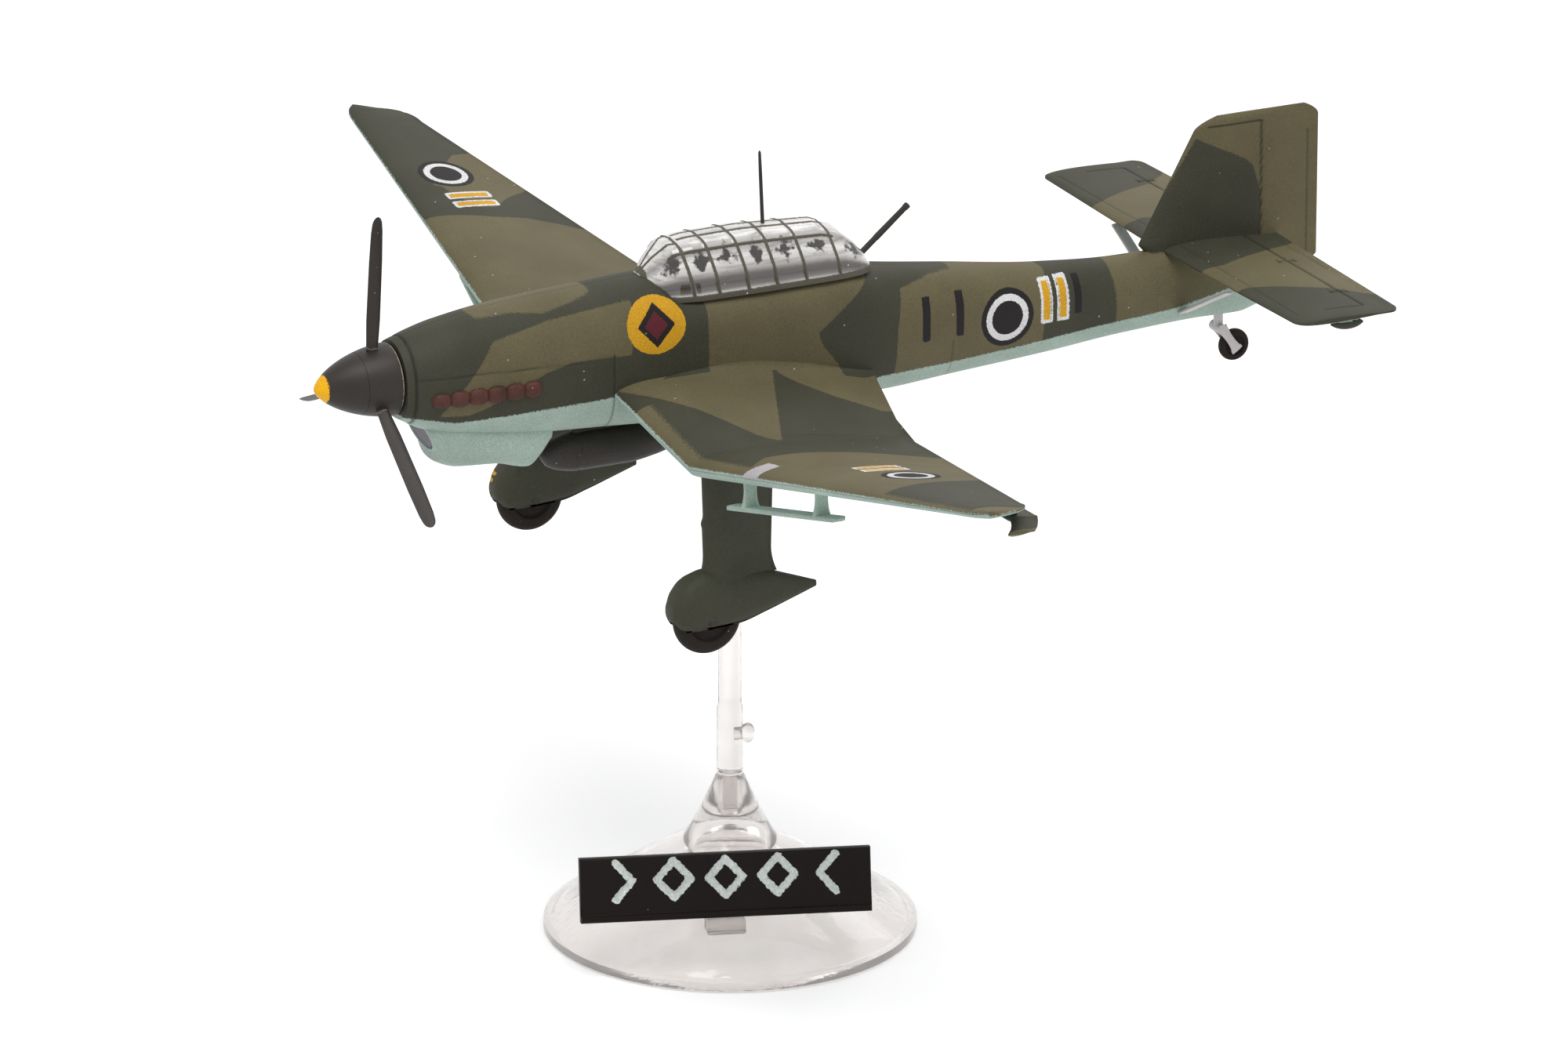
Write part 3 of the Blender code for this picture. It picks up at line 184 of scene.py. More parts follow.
def bar(low, high, soft=0.1, segments=4):
    """A block from its low to its high corner, with rounded upright corners and softened ends."""
    low, high = np.asarray(low, float), np.asarray(high, float)
    soft = min(soft, 0.45 * (high - low).min())
    turn = np.linspace(0.0, np.pi / 2, segments + 1)
    corner = np.concatenate([turn + k * np.pi / 2 for k in range(4)])
    sign = np.repeat([[1, 1], [-1, 1], [-1, -1], [1, -1]], segments + 1, 0)
    half = (high - low)[:2] / 2
    rings = []
    for height, inset in ((0, 1), (0.3, 0.3), (1, 0), (-1, 0), (-0.3, 0.3), (0, 1)):
        flat = sign * (half - soft) + (1 - inset * 0.7) * soft * np.stack([np.cos(corner), np.sin(corner)], -1)
        level = low[2] + height * soft if height > 0 or len(rings) == 0 else high[2] + height * soft
        rings.append(np.column_stack([flat + (low + high)[:2] / 2, np.full(len(flat), level)]))
    return lofted(rings)


def together(*shapes):
    """Several closed shapes as one, with their corners numbered on."""
    points, faces, count = [], [], 0
    for shape_points, shape_faces in shapes:
        points.append(shape_points)
        faces += [f + count for f in facing_out(shape_points, shape_faces)]
        count += len(shape_points)
    return np.concatenate(points), faces


def facing_out(points, faces):
    """The faces of one closed shape, turned over if its signed volume is negative."""
    volume = 0.0
    for f in faces:
        for k in range(1, f.shape[1] - 1):
            volume += np.einsum("ij,ij->", points[f[:, 0]], np.cross(points[f[:, k]], points[f[:, k + 1]]))
    return [f[:, ::-1] for f in faces] if volume < 0 else faces


def make(name, shape, body, slot, material, nodes=(), sharp=40.0, **values):
    """Puts a closed shape, in millimetres of the shared frame, into the scene as a piece. Values are
    stored on its points under their names, for its material."""
    points, faces = shape
    faces = facing_out(points, faces)
    mesh = bpy.data.meshes.new(name)
    loops = np.concatenate([f.reshape(-1) for f in faces])
    sizes = np.concatenate([np.full(len(f), f.shape[1]) for f in faces])
    mesh.vertices.add(len(points))
    mesh.vertices.foreach_set("co", (points * MM).astype(np.float32).ravel())
    mesh.loops.add(len(loops))
    mesh.loops.foreach_set("vertex_index", loops.astype(np.int32))
    mesh.polygons.add(len(sizes))
    mesh.polygons.foreach_set("loop_start", np.concatenate([[0], np.cumsum(sizes)[:-1]]).astype(np.int32))
    mesh.update(calc_edges=True)
    mesh.validate()
    mesh.shade_smooth()
    mesh.set_sharp_from_angle(angle=np.radians(sharp))
    for key, value in values.items():
        mesh.attributes.new(key, "FLOAT", "POINT").data.foreach_set("value", np.asarray(value, np.float32))
    mesh.materials.append(material)
    piece = bpy.data.objects.new(name, mesh)
    scene.collection.objects.link(piece)
    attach(piece, body)
    if nodes:
        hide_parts(*nodes)
    return piece


def group(name, ins, outs):
    """An empty node group with these named number inputs and outputs, and its two end nodes."""
    tree = bpy.data.node_groups.new(name, "ShaderNodeTree")
    for key, value in ins.items():
        tree.interface.new_socket(key, in_out="INPUT", socket_type="NodeSocketFloat").default_value = value
    for key in outs:
        tree.interface.new_socket(key, in_out="OUTPUT", socket_type="NodeSocketFloat")
    return tree, add(tree, "NodeGroupInput"), add(tree, "NodeGroupOutput")


def mixed(tree, share, first, second):
    """The colour between two colours at a share."""
    return add(tree, "ShaderNodeMix", {0: share, 6: first, 7: second}, data_type="RGBA").outputs[2]


def stored(tree, name):
    """The output of one of a piece's stored values."""
    return add(tree, "ShaderNodeAttribute", attribute_name=name).outputs["Fac"]


def own_place(tree):
    """The output of a point's place on its own piece."""
    return add(tree, "ShaderNodeTexCoord").outputs["Object"]


def noise(tree, scale, detail):
    """The output of a noise over the piece's own place."""
    feeds = {"Vector": own_place(tree), "Scale": scale, "Detail": detail}
    return add(tree, "ShaderNodeTexNoise", feeds).outputs["Fac"]


# Surface grain: fine and broad tone, sparse dust specks and a height for bump.
grain, grain_in, grain_out = group(
    "surface_grain", {"Fine": 9000.0, "Broad": 260.0, "Specks": 0.5}, ("Tone", "Cloud", "Speck", "Height")
)
fine = noise(grain, grain_in.outputs["Fine"], 2.0)
broad = noise(grain, grain_in.outputs["Broad"], 4.0)
cells = add(grain, "ShaderNodeTexVoronoi", {"Vector": own_place(grain), "Scale": 1300.0})
dust = ranged(grain, cells.outputs["Distance"], 0.05, 0.09, 1.0, 0.0)
rare = add(grain, "ShaderNodeSeparateColor", {"Color": cells.outputs["Color"]})
few = number(grain, "LESS_THAN", rare.outputs[0], grain_in.outputs["Specks"])
for key, value in (
    ("Tone", fine),
    ("Cloud", broad),
    ("Speck", number(grain, "MULTIPLY", dust, few)),
    ("Height", number(grain, "ADD", number(grain, "MULTIPLY", fine, 0.5), broad)),
):
    grain.links.new(value, grain_out.inputs[key])


def grained(tree, shader, colour, speck, bump, fine=9000.0, broad=260.0, specks=0.3, tone=0.25, cloud=0.25):
    """Lays surface grain over a colour and feeds it, and a bump of this height, to the shader."""
    g = add(tree, "ShaderNodeGroup", node_tree=grain)
    for key, value in (("Fine", fine), ("Broad", broad), ("Specks", specks)):
        g.inputs[key].default_value = value
    light = ranged(tree, g.outputs["Tone"], 0.3, 0.7, 1 - tone, 1 + tone)
    patch = ranged(tree, g.outputs["Cloud"], 0.3, 0.7, 1 - cloud, 1 + cloud)
    gain = number(tree, "MULTIPLY", light, patch)
    plain = colour if isinstance(colour, bpy.types.NodeSocket) else colour[:3]
    toned = add(tree, "ShaderNodeVectorMath", {0: plain, "Scale": gain}, operation="SCALE").outputs[0]
    tree.links.new(mixed(tree, g.outputs["Speck"], toned, speck), shader.inputs["Base Color"])
    height = add(tree, "ShaderNodeBump", {"Height": g.outputs["Height"], "Distance": bump})
    tree.links.new(height.outputs[0], shader.inputs["Normal"])
    return g


clear, tree, shader = finish("clear_polystyrene", Roughness=0.06, IOR=1.42, Transmission_Weight=0.86)
g = grained(
    tree, shader, tint(253, 249, 247), tint(232, 226, 224), 0.00003,
    fine=1500.0, broad=180.0, specks=0.12, tone=0.015, cloud=0.03,
)
tree.links.new(ranged(tree, g.outputs["Cloud"], to_low=0.03, to_high=0.12), shader.inputs["Roughness"])

base_low, base_high = (np.array(c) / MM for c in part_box("stand_base"))
RIM_RADIUS = (base_high[0] - base_low[0]) / 2
CONE_TOP = base_high[2]
foot_profile = [
    (CONE_TOP - 2.9, 0.3),
    (CONE_TOP - 2.9, 0.61),
    (CONE_TOP - 0.1, 0.61),
    (CONE_TOP, 0.7),
    (CONE_TOP, 0.88),
    (CONE_TOP - 0.1, 0.97),
    (9.2, 1.72),
    (7.6, 2.5),
    (6.95, 2.85),
    (6.55, 3.25),
    (6.35, 3.45),
    (5.6, 4.7),
    (4.0, 7.2),
    (2.75, 9.3),
    (1.75, 11.0),
    (1.1, 12.0),
    (0.92, 12.2),
    (0.86, 12.45),
    (0.72, RIM_RADIUS - 0.03),
    (0.25, RIM_RADIUS),
    (0.05, RIM_RADIUS - 0.05),
    (0.0, RIM_RADIUS - 0.2),
    (0.0, 11.9),
    (0.1, 11.75),
    (0.45, 11.2),
    (1.3, 10.0),
    (2.9, 7.3),
    (4.6, 4.5),
    (5.15, 3.3),
    (5.4, 2.6),
    (6.4, 2.0),
    (7.1, 1.2),
    (7.35, 0.4),
]
PLATE_HALF, PLATE_HEIGHT, PLATE_DEPTH, PLATE_EDGE = 9.8, 4.35, 1.0, 0.16
FOOT_OUT, FOOT_BEARING, FOOT_HEIGHT = 8.4, np.radians(61.6), 3.95
lean, turn = np.radians(-12.0), np.radians(70.6 + 90.0)
lean_back = np.array([[1, 0, 0], [0, np.cos(lean), -np.sin(lean)], [0, np.sin(lean), np.cos(lean)]])
turn_round = np.array([[np.cos(turn), -np.sin(turn), 0], [np.sin(turn), np.cos(turn), 0], [0, 0, 1]])
plate_foot = np.array([FOOT_OUT * np.cos(FOOT_BEARING), FOOT_OUT * np.sin(FOOT_BEARING), FOOT_HEIGHT])


def on_plate(shape):
    """A shape drawn facing the reader, across, towards and up, leaned back and stood where the plate is."""
    points, faces = shape
    return points @ lean_back.T @ turn_round.T + plate_foot, faces


make(
    "clear_base",
    together(
        turned(foot_profile, (0, 0, 0), (0, 0, 1), 160),
        on_plate(bar((-1.3, -0.7, -1.2), (1.3, 1.1, -0.1), 0.15)),
        on_plate(bar((-1.3, 0.1, -1.2), (1.3, 1.1, 2.4), 0.15)),
    ),
    "stand",
    "clear_plastic",
    clear,
    ["stand_base"],
    sharp=25.0,
)

column_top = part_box("stand_column")[1][2] / MM
shoulder = column_top - 2.9
column_profile = [
    (CONE_TOP - 2.8, 0.45),
    (CONE_TOP - 2.7, 0.55),
    (CONE_TOP + 0.1, 0.55),
    (CONE_TOP + 0.1, 0.84),
    (CONE_TOP + 0.16, 0.88),
    (15.6, 0.88),
    (15.8, 0.86),
    (16.05, 0.81),
    (16.3, 0.79),
    (shoulder - 0.05, 0.78),
    (shoulder, 0.72),
    (shoulder, 0.52),
    (column_top - 0.1, 0.52),
    (column_top, 0.4),
]
NUB = [
    (0.2, 0.3), (0.76, 0.3), (0.82, 0.3), (0.95, 0.4), (1.1, 0.46), (1.3, 0.46), (1.5, 0.38), (1.62, 0.24),
    (1.68, 0.1),
]
NUB_HEIGHT, NUB_STRETCH = 13.9, 1.5
nub_way = np.radians(153.5)
nub_points, nub_faces = turned(NUB, (0, 0, NUB_HEIGHT), (np.cos(nub_way), np.sin(nub_way), 0.0), 32)
nub_points = nub_points * [1, 1, NUB_STRETCH] - [0, 0, NUB_HEIGHT * (NUB_STRETCH - 1)]
make(
    "clear_column",
    together(turned(column_profile, (0, 0, 0), (0, 0, 1), 64), (nub_points, nub_faces)),
    "column",
    "clear_plastic",
    clear,
    ["stand_column"],
    sharp=30.0,
)

# ---------------------------------------------------------------- nameplate
# A black moulded bar that clips on the lug and leans back. A plain row of diamonds between two
# chevrons is sunk into its face and filled with silvery white, and a fine lip runs along its foot.


def stroke(flat, line, width):
    """How far inside a drawn line of this width each flat point lies, in millimetres."""
    line = np.asarray(line, float)
    a, edge = line[:-1], np.diff(line, axis=0)
    away = flat[:, None] - a
    share = np.clip((away * edge).sum(-1) / (edge**2).sum(-1), 0.0, 1.0)
    return width / 2 - np.linalg.norm(away - share[..., None] * edge, axis=-1).min(1)


def outline(flat, corners):
    """How far inside a closed outline each flat point lies, in millimetres, negative outside it."""
    a = np.asarray(corners, float)
    b = np.roll(a, -1, 0)
    gap = -stroke(flat, np.concatenate([a, a[:1]]), 0.0)
    x, y = flat[:, 0, None], flat[:, 1, None]
    rise = np.where(b[:, 1] == a[:, 1], 1e-9, b[:, 1] - a[:, 1])
    crossed = ((a[:, 1] > y) != (b[:, 1] > y)) & (x < a[:, 0] + (y - a[:, 1]) * (b[:, 0] - a[:, 0]) / rise)
    return np.where(crossed.sum(1) % 2 == 1, gap, -gap)


def near_lines(start, stop, step, marks=(), reach=0.12):
    """Evenly spaced positions, with closer ones around each mark, for grooves that stay crisp."""
    even = np.linspace(start, stop, int(abs(stop - start) / step) + 2)
    close = [mark + reach * share for mark in marks for share in (-1, -0.5, 0, 0.5, 1)]
    low, high = min(start, stop), max(start, stop)
    found = np.unique(np.round([p for p in (*even, *close) if low <= p <= high], 4))
    return found if stop > start else found[::-1]


def motif(flat):
    """Inside distance of the sunk row: chevron, three diamonds, chevron, each of one stroke."""
    drawn = [stroke(flat, [(s * 7.4, 1.5), (s * 6.3, 2.75), (s * 7.4, 4.0)], 0.56) for s in (-1, 1)]
    for middle in (-3.5, 0.0, 3.5):
        left, right = (middle - 1.15, 2.75), (middle + 1.15, 2.75)
        drawn.append(stroke(flat, [left, (middle, 4.0), right, (middle, 1.5), left], 0.54))
    return np.max(drawn, axis=0)


across = near_lines(-PLATE_HALF, PLATE_HALF, 0.075, (-PLATE_HALF, PLATE_HALF), 0.14)
up = near_lines(0.0, PLATE_HEIGHT, 0.07, (0.0, 0.5, PLATE_HEIGHT), 0.12)
face = np.stack(np.meshgrid(across, up, indexing="ij"), -1)
from_edge = np.minimum(np.minimum(PLATE_HALF - abs(face[..., 0]), face[..., 1]), PLATE_HEIGHT - face[..., 1])
inward = np.clip(from_edge / PLATE_EDGE, 0, 1)
rounding = PLATE_EDGE * (1.0 - np.sqrt(np.clip(1.0 - (1.0 - inward) ** 2, 0, 1)))
sunk = 0.16 * np.clip(motif(face.reshape(-1, 2)) / 0.12, 0, 1).reshape(from_edge.shape)
lip = 0.13 * np.clip((face[..., 1] - 0.46) / 0.05, 0, 1)
front = np.dstack([face[..., 0], -PLATE_DEPTH + rounding + sunk + lip, face[..., 1]])
rear = front[:, [-1, 0]] * [1, 0, 1]
plate_shape = lofted(np.concatenate([front, rear], 1))
filled = motif(plate_shape[0][:, [0, 2]])
filled[plate_shape[0][:, 1] > -0.5] = -1.0

black, tree, shader = finish("black_moulding", Roughness=0.5, Specular_IOR_Level=0.12)
chips = noise(tree, 4200.0, 4.0)
chipped = number(tree, "MULTIPLY", number(tree, "SUBTRACT", chips, 0.5), 0.28)
white_mask = ranged(tree, number(tree, "ADD", stored(tree, "filled"), chipped), 0.0, 0.04)
worn = mixed(tree, chips, tint(178, 188, 184), tint(250, 254, 251))
colour = mixed(tree, white_mask, tint(24, 19, 17), worn)
grained(tree, shader, colour, tint(90, 84, 78), 0.000012, specks=0.12, tone=0.12, cloud=0.1)
plate = on_plate(plate_shape)
make("sunk_nameplate", plate, "stand", "black_plastic", black, ["nameplate"], sharp=50.0, filled=filled)

# ---------------------------------------------------------------- fuselage, fin and rudder
# Two half shells in grey polystyrene, joined along the middle, with panel lines engraved in them.
# Sprayed in a straight-edged splinter of dark green and brown green over a pale blue-green belly,
# with plain bars, discs and diamonds as markings.
spinner_low, spinner_high = (np.array(c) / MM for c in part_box("spinner"))
NOSE = np.array([spinner_high[0], 0.0, (spinner_low[2] + spinner_high[2]) / 2])
PAINTS = ("splinter", "belly", "yellow", "white", "black", "red", "grey", "wash")


def eased(at, stations, values):
    """Values between stations on smooth curves that never overshoot: cubic pieces whose slope at each
    station is the harmonic mean of its neighbours' slopes, and flat where they differ in sign."""
    stations, values = np.asarray(stations, float), np.asarray(values, float)
    order = np.argsort(stations)
    stations, values = stations[order], values[order]
    gap = np.diff(stations)
    slope = np.diff(values) / gap
    before, after = slope[:-1], slope[1:]
    same = before * after > 0
    middle = np.where(same, 2 * before * after / np.where(same, before + after, 1.0), 0.0)
    tangent = np.concatenate([[slope[0]], middle, [slope[-1]]])
    at = np.clip(at, stations[0], stations[-1])
    k = np.clip(np.searchsorted(stations, at) - 1, 0, len(gap) - 1)
    t = (at - stations[k]) / gap[k]
    return (
        values[k] * (1 + 2 * t) * (1 - t) ** 2
        + tangent[k] * gap[k] * t * (1 - t) ** 2
        + values[k + 1] * t**2 * (3 - 2 * t)
        - tangent[k + 1] * gap[k] * t**2 * (1 - t)
    )


def groove(away, depth=0.05, width=0.07):
    """Depth of an engraved line at a distance from its middle: a soft bell of this depth and width."""
    return depth * np.exp(-((away / width) ** 2))


def disc(flat, centre, radius, squash=1.0):
    """How far inside a round mark each flat point lies; squash makes up for a side that curves away."""
    return radius - np.hypot(flat[:, 0] - centre[0], (flat[:, 1] - centre[1]) * squash)


def block(flat, low, high):
    """How far inside an upright rectangle each flat point lies."""
    return np.minimum(flat - low, np.asarray(high) - flat).min(1)


def roundel(flat, centre, radius, squash=1.0):
    """A black disc with a white ring in it: the inside distances of the black and of the white."""
    inside = disc(flat, centre, radius, squash)
    return inside, 0.22 - abs(inside - 0.62)


FUSELAGE = np.array([
    # behind the spinner's tip, top, bottom, half width, widest height, squareness of the top
    (-5.6, 2.6, -2.6, 2.55, 0.0, 2.0),
    (-7.0, 3.05, -3.4, 2.85, -0.1, 2.1),
    (-9.0, 3.5, -4.1, 3.15, -0.2, 2.2),
    (-13.6, 4.1, -4.8, 3.4, -0.5, 2.3),
    (-20.8, 4.5, -5.3, 3.5, -0.8, 2.4),
    (-23.5, 4.62, -5.5, 3.5, -0.9, 2.5),
    (-25.8, 3.2, -5.6, 3.5, -0.9, 4.5),
    (-31.0, 3.2, -5.75, 3.45, -0.9, 4.5),
    (-37.5, 3.2, -5.75, 3.3, -0.9, 4.5),
    (-40.9, 2.7, -5.9, 3.05, -0.9, 2.7),
    (-46.3, 2.0, -5.6, 2.75, -1.0, 2.2),
    (-53.6, 1.0, -5.2, 2.25, -1.3, 2.0),
    (-59.5, 0.6, -4.75, 1.85, -1.6, 2.0),
    (-65.0, 0.6, -4.6, 1.3, -1.7, 2.0),
    (-68.8, 0.6, -4.7, 0.75, -1.8, 2.0),
    (-70.4, 0.5, -4.35, 0.45, -1.8, 2.0),
])
BROWN_ON_SIDE = [
    [
        (-7.7, -2.2), (-9.78, 0.05), (-11.7, 2.42), (-15.8, 3.2), (-21.9, 3.7), (-21.45, 0.28), (-17.1, 0.37),
        (-15.3, -0.06), (-11.1, -1.9), (-9.8, -2.3),
    ],
    [
        (-10.8, 3.9), (-11.2, 3.65), (-13.6, 3.8), (-15.6, 3.6), (-17.8, 3.95), (-19.5, 4.3), (-19.5, 5.5),
        (-10.8, 5.5),
    ],
    [
        (-27.1, 7), (-27.1, -7), (-38.6, -7), (-36.8, -2.7), (-35.6, -1.2), (-35.3, -0.3), (-39.6, 2.9),
        (-39.6, 7),
    ],
    [
        (-41.8, 1.6), (-41.4, -1.1), (-41.2, -7), (-52.8, -7), (-52.8, -2.3), (-53.2, 0.4), (-53.4, 0.9),
        (-52.6, 1.5), (-52.6, 5), (-46.4, 5), (-46.4, 1.9), (-44.5, 1.95), (-42.3, 1.67),
    ],
    [(-58.2, 3), (-58.3, 0), (-58.5, -1.9), (-58.7, -7), (-78, -7), (-78, 0.5), (-62, 0.5), (-60.6, 1.2)],
]
BELLY_EDGE = [
    # behind the spinner's tip, height
    (5.6, -2.2), (6.75, -2.35), (9.0, -2.8), (14.0, -2.69), (20.4, -2.5), (24.0, -3.6), (38.0, -4.6),
    (40.4, -4.3), (45.0, -4.2), (51.1, -3.95), (57.3, -3.5), (63.3, -3.3), (68, -2.6), (72, -2.2),
]
GREEN_ON_FIN = [(-60.0, 0.0), (-65.4, 8.1), (-69.13, 6.25), (-69.75, 5.66), (-70.4, 3.66), (-70.37, 0.3)]


def in_any(flat, shapes):
    """How far inside the nearest of several outlines each flat point lies."""
    return np.max([outline(flat, corners) for corners in shapes], axis=0)


def plain_paint(points, **chosen):
    """Every paint set aside, but for the ones chosen."""
    paint = {name: np.full(len(points), -1.0) for name in PAINTS}
    for name, value in chosen.items():
        paint[name] = np.broadcast_to(np.asarray(value, float), len(points))
    return paint


def aircraft_piece(name, shape, slot, coat, nodes=(), **values):
    """Makes a piece that rides on the aircraft, from a shape measured from the spinner's tip."""
    make(name, (shape[0] + NOSE, shape[1]), "aircraft", slot, coat, nodes, **values)


def side_paint(points, port=True):
    """Inside distances of every paint on the fuselage and fin, from its points behind and above the tip."""
    flat = points[:, [0, 2]]
    edge = np.interp(-flat[:, 0], *np.transpose(BELLY_EDGE))
    crest = (-23.35, 1.95)
    paint = plain_paint(points, splinter=in_any(flat, BROWN_ON_SIDE), belly=edge - flat[:, 1])
    paint["yellow"] = disc(flat, crest, 2.1, 1.12)
    tall = np.abs(flat - crest) @ np.array([1.0, 0.92])
    paint["black"] = (1.35 - tall) * 0.7
    paint["red"] = (0.85 - tall) * 0.7
    mark, ring = roundel(flat, (-49.9, -1.65), 2.05, 1.02)
    bars = [block(flat, (x - 0.3, -2.3), (x + 0.3, 0.8)) for x in (-43.6, -46.2)]
    bars.append(block(flat, (-55.75, -2.25), (-55.2, 0.35)))
    paint["black"] = np.max([paint["black"], mark, *bars], axis=0)
    gold = np.max([block(flat, (x - 0.32, -2.4), (x + 0.32, 0.35)) for x in (-53.0, -54.3)], axis=0)
    paint["yellow"] = np.maximum(paint["yellow"], gold)
    paint["white"] = np.maximum(ring, 0.11 - abs(gold + 0.05))
    paint["black"] = np.where(ring > 0, np.minimum(paint["black"], -ring), paint["black"])
    if not port:
        paint["yellow"], paint["red"] = gold, np.full(len(points), -1.0)
        paint["black"] = np.where(flat[:, 0] > -30, -1.0, paint["black"])
    return paint


# One soft-edged mask from a distance: a little noise makes the edge grainy, as sprayed paint is.
soft, soft_in, soft_out = group("sprayed_edge", {"Inside": 0.0, "Grain": 0.1, "Softness": 0.08}, ("Mask",))
spray = number(soft, "SUBTRACT", noise(soft, 9000.0, 3.0), 0.5)
ragged = number(soft, "MULTIPLY", spray, soft_in.outputs["Grain"])
moved = number(soft, "ADD", soft_in.outputs["Inside"], ragged)
level = number(soft, "ADD", number(soft, "DIVIDE", moved, soft_in.outputs["Softness"]), 0.5)
soft.links.new(add(soft, "ShaderNodeClamp", {"Value": level}).outputs[0], soft_out.inputs["Mask"])


def sprayed(tree, attribute, grain_size, softness):
    """The soft mask of one of a piece's stored distances."""
    mask = add(tree, "ShaderNodeGroup", node_tree=soft)
    tree.links.new(stored(tree, attribute), mask.inputs["Inside"])
    mask.inputs["Grain"].default_value = grain_size
    mask.inputs["Softness"].default_value = softness
    return mask.outputs["Mask"]


camouflage, tree, shader = finish("sprayed_camouflage", Roughness=0.6, Specular_IOR_Level=0.22)
colour = tint(63, 63, 51)
for layer, grain_size, softness, chip in (
    ("splinter", 0.2, 0.10, (101, 94, 69)),
    ("belly", 0.3, 0.09, (170, 189, 179)),
    ("yellow", 0.15, 0.04, (214, 160, 36)),
    ("black", 0.15, 0.04, (30, 26, 26)),
    ("red", 0.15, 0.05, (92, 34, 42)),
    ("white", 0.15, 0.04, (222, 222, 222)),
    ("grey", 0.3, 0.05, (186, 180, 184)),
):
    colour = mixed(tree, sprayed(tree, layer, grain_size, softness), colour, tint(*chip))
# Painted shade in the engraved grooves: the stored groove depth darkens the colour towards near black.
colour = mixed(tree, ranged(tree, stored(tree, "wash"), to_high=0.75), colour, tint(34, 32, 27))
g = grained(tree, shader, colour, tint(186, 182, 168), 0.000014, specks=0.12, tone=0.15, cloud=0.1)
tree.links.new(ranged(tree, g.outputs["Tone"], to_low=0.48, to_high=0.75), shader.inputs["Roughness"])

COWL_FRONT, COWL_BACK, TAIL_JOINT = -6.2, -20.2, -45.7
station = near_lines(-5.6, -70.4, 0.2, (COWL_FRONT, COWL_BACK, TAIL_JOINT))
top, bottom, half_width, widest, squareness = (
    eased(station, FUSELAGE[:, 0], FUSELAGE[:, k])[:, None] for k in range(1, 6)
)
angle = np.linspace(0.0, np.pi, 721)[None]
power = np.where(angle < np.pi / 2, 2.0 / squareness, 2.0 / 2.8)
rise = np.abs(np.cos(angle)) ** power
dense = np.dstack([
    half_width * np.abs(np.sin(angle)) ** power,
    np.where(angle < np.pi / 2, widest + (top - widest) * rise, widest - (widest - bottom) * rise),
])
steps = np.hypot(*np.diff(dense, axis=1).transpose(2, 0, 1))
length = np.concatenate([np.zeros((len(station), 1)), np.cumsum(steps, 1)], 1)
share = np.linspace(0.0, 1.0, 100)
side_y, side_z = (
    np.stack([np.interp(share * row[-1], row, flat[:, k]) for row, flat in zip(length, dense)]) for k in (0, 1)
)
step_z = np.interp(-station, [6.2, 10.9, 16.5, 20.5], [0.5, 0.46, 0.28, 0.32])[:, None]
at = station[:, None]
in_cowl = (at < COWL_FRONT) & (at > COWL_BACK - 0.1)
deep = groove(at - COWL_FRONT, 0.09, 0.09) + groove(at - COWL_BACK) * (side_z < 0.4)
deep = deep + groove(at - TAIL_JOINT, 0.03) * (side_z < -2.6) + groove(side_z - step_z, 0.05, 0.06) * in_cowl
side_y = np.maximum(side_y - deep, 0.012)
side_z = side_z - deep * np.sign(side_z - widest) * (side_y < 1.0)

HORN_LINE = 8.75
fin_z = near_lines(-4.1, 9.45, 0.14, (HORN_LINE,))


def fin_edges(z):
    """Front and back edges of the fin and rudder at each height, rounded into its top corners."""
    corner = np.clip(z - 8.55, 0, None)
    front = -61.15 - 0.561 * np.clip(z - 1.1, 0, None) - 1.6 * corner**2
    front = np.where(z < 1.1, -61.15 - 0.9 * (1.1 - z), front)
    back = -74.9 + 1.3 * corner**2 + np.where(z < -1.4, 1.5 * (-1.4 - z), 0.0)
    return front, back


def chord_steps(count):
    """Shares of a chord from 0 to 1, closer together at both ends."""
    return 0.5 * (1 - np.cos(np.linspace(0, np.pi, count)))


def foil(along, thickness, edge=0.06):
    """Half thickness of a smooth wing section at shares of its chord, never thinner than its edge."""
    camber = 2.96 * np.sqrt(along) - 1.26 * along - 3.52 * along**2 + 2.84 * along**3 - 1.02 * along**4
    return np.maximum(camber * thickness / 2, edge)


along = chord_steps(110)[None]
fin_front, fin_back = (edge[:, None] for edge in fin_edges(fin_z))
fin_x = fin_front + (fin_back - fin_front) * along
taper = 1.1 * (1 - 0.45 * np.clip(fin_z, 0, None) / 9.45)
top_round = np.sqrt(np.clip(1 - np.clip((fin_z - 9.0) / 0.47, 0, 1) ** 2, 0.04, 1))
fin_y = foil(along, (taper * top_round)[:, None])
fin_level = fin_z[:, None] + 0 * fin_x
hinge = groove(fin_x + 70.4, 0.09, 0.08) * (fin_level > 0.6) * (fin_level < HORN_LINE)
hinge = hinge + groove(fin_x + 74.1, 0.05, 0.07) * (fin_level < 7.6)
hinge = hinge + groove(fin_level - HORN_LINE, 0.07, 0.07) * (fin_x < -66.3) * (fin_x > -70.5)
fin_y = np.maximum(fin_y - np.minimum(hinge, fin_y * 0.5), 0.03)

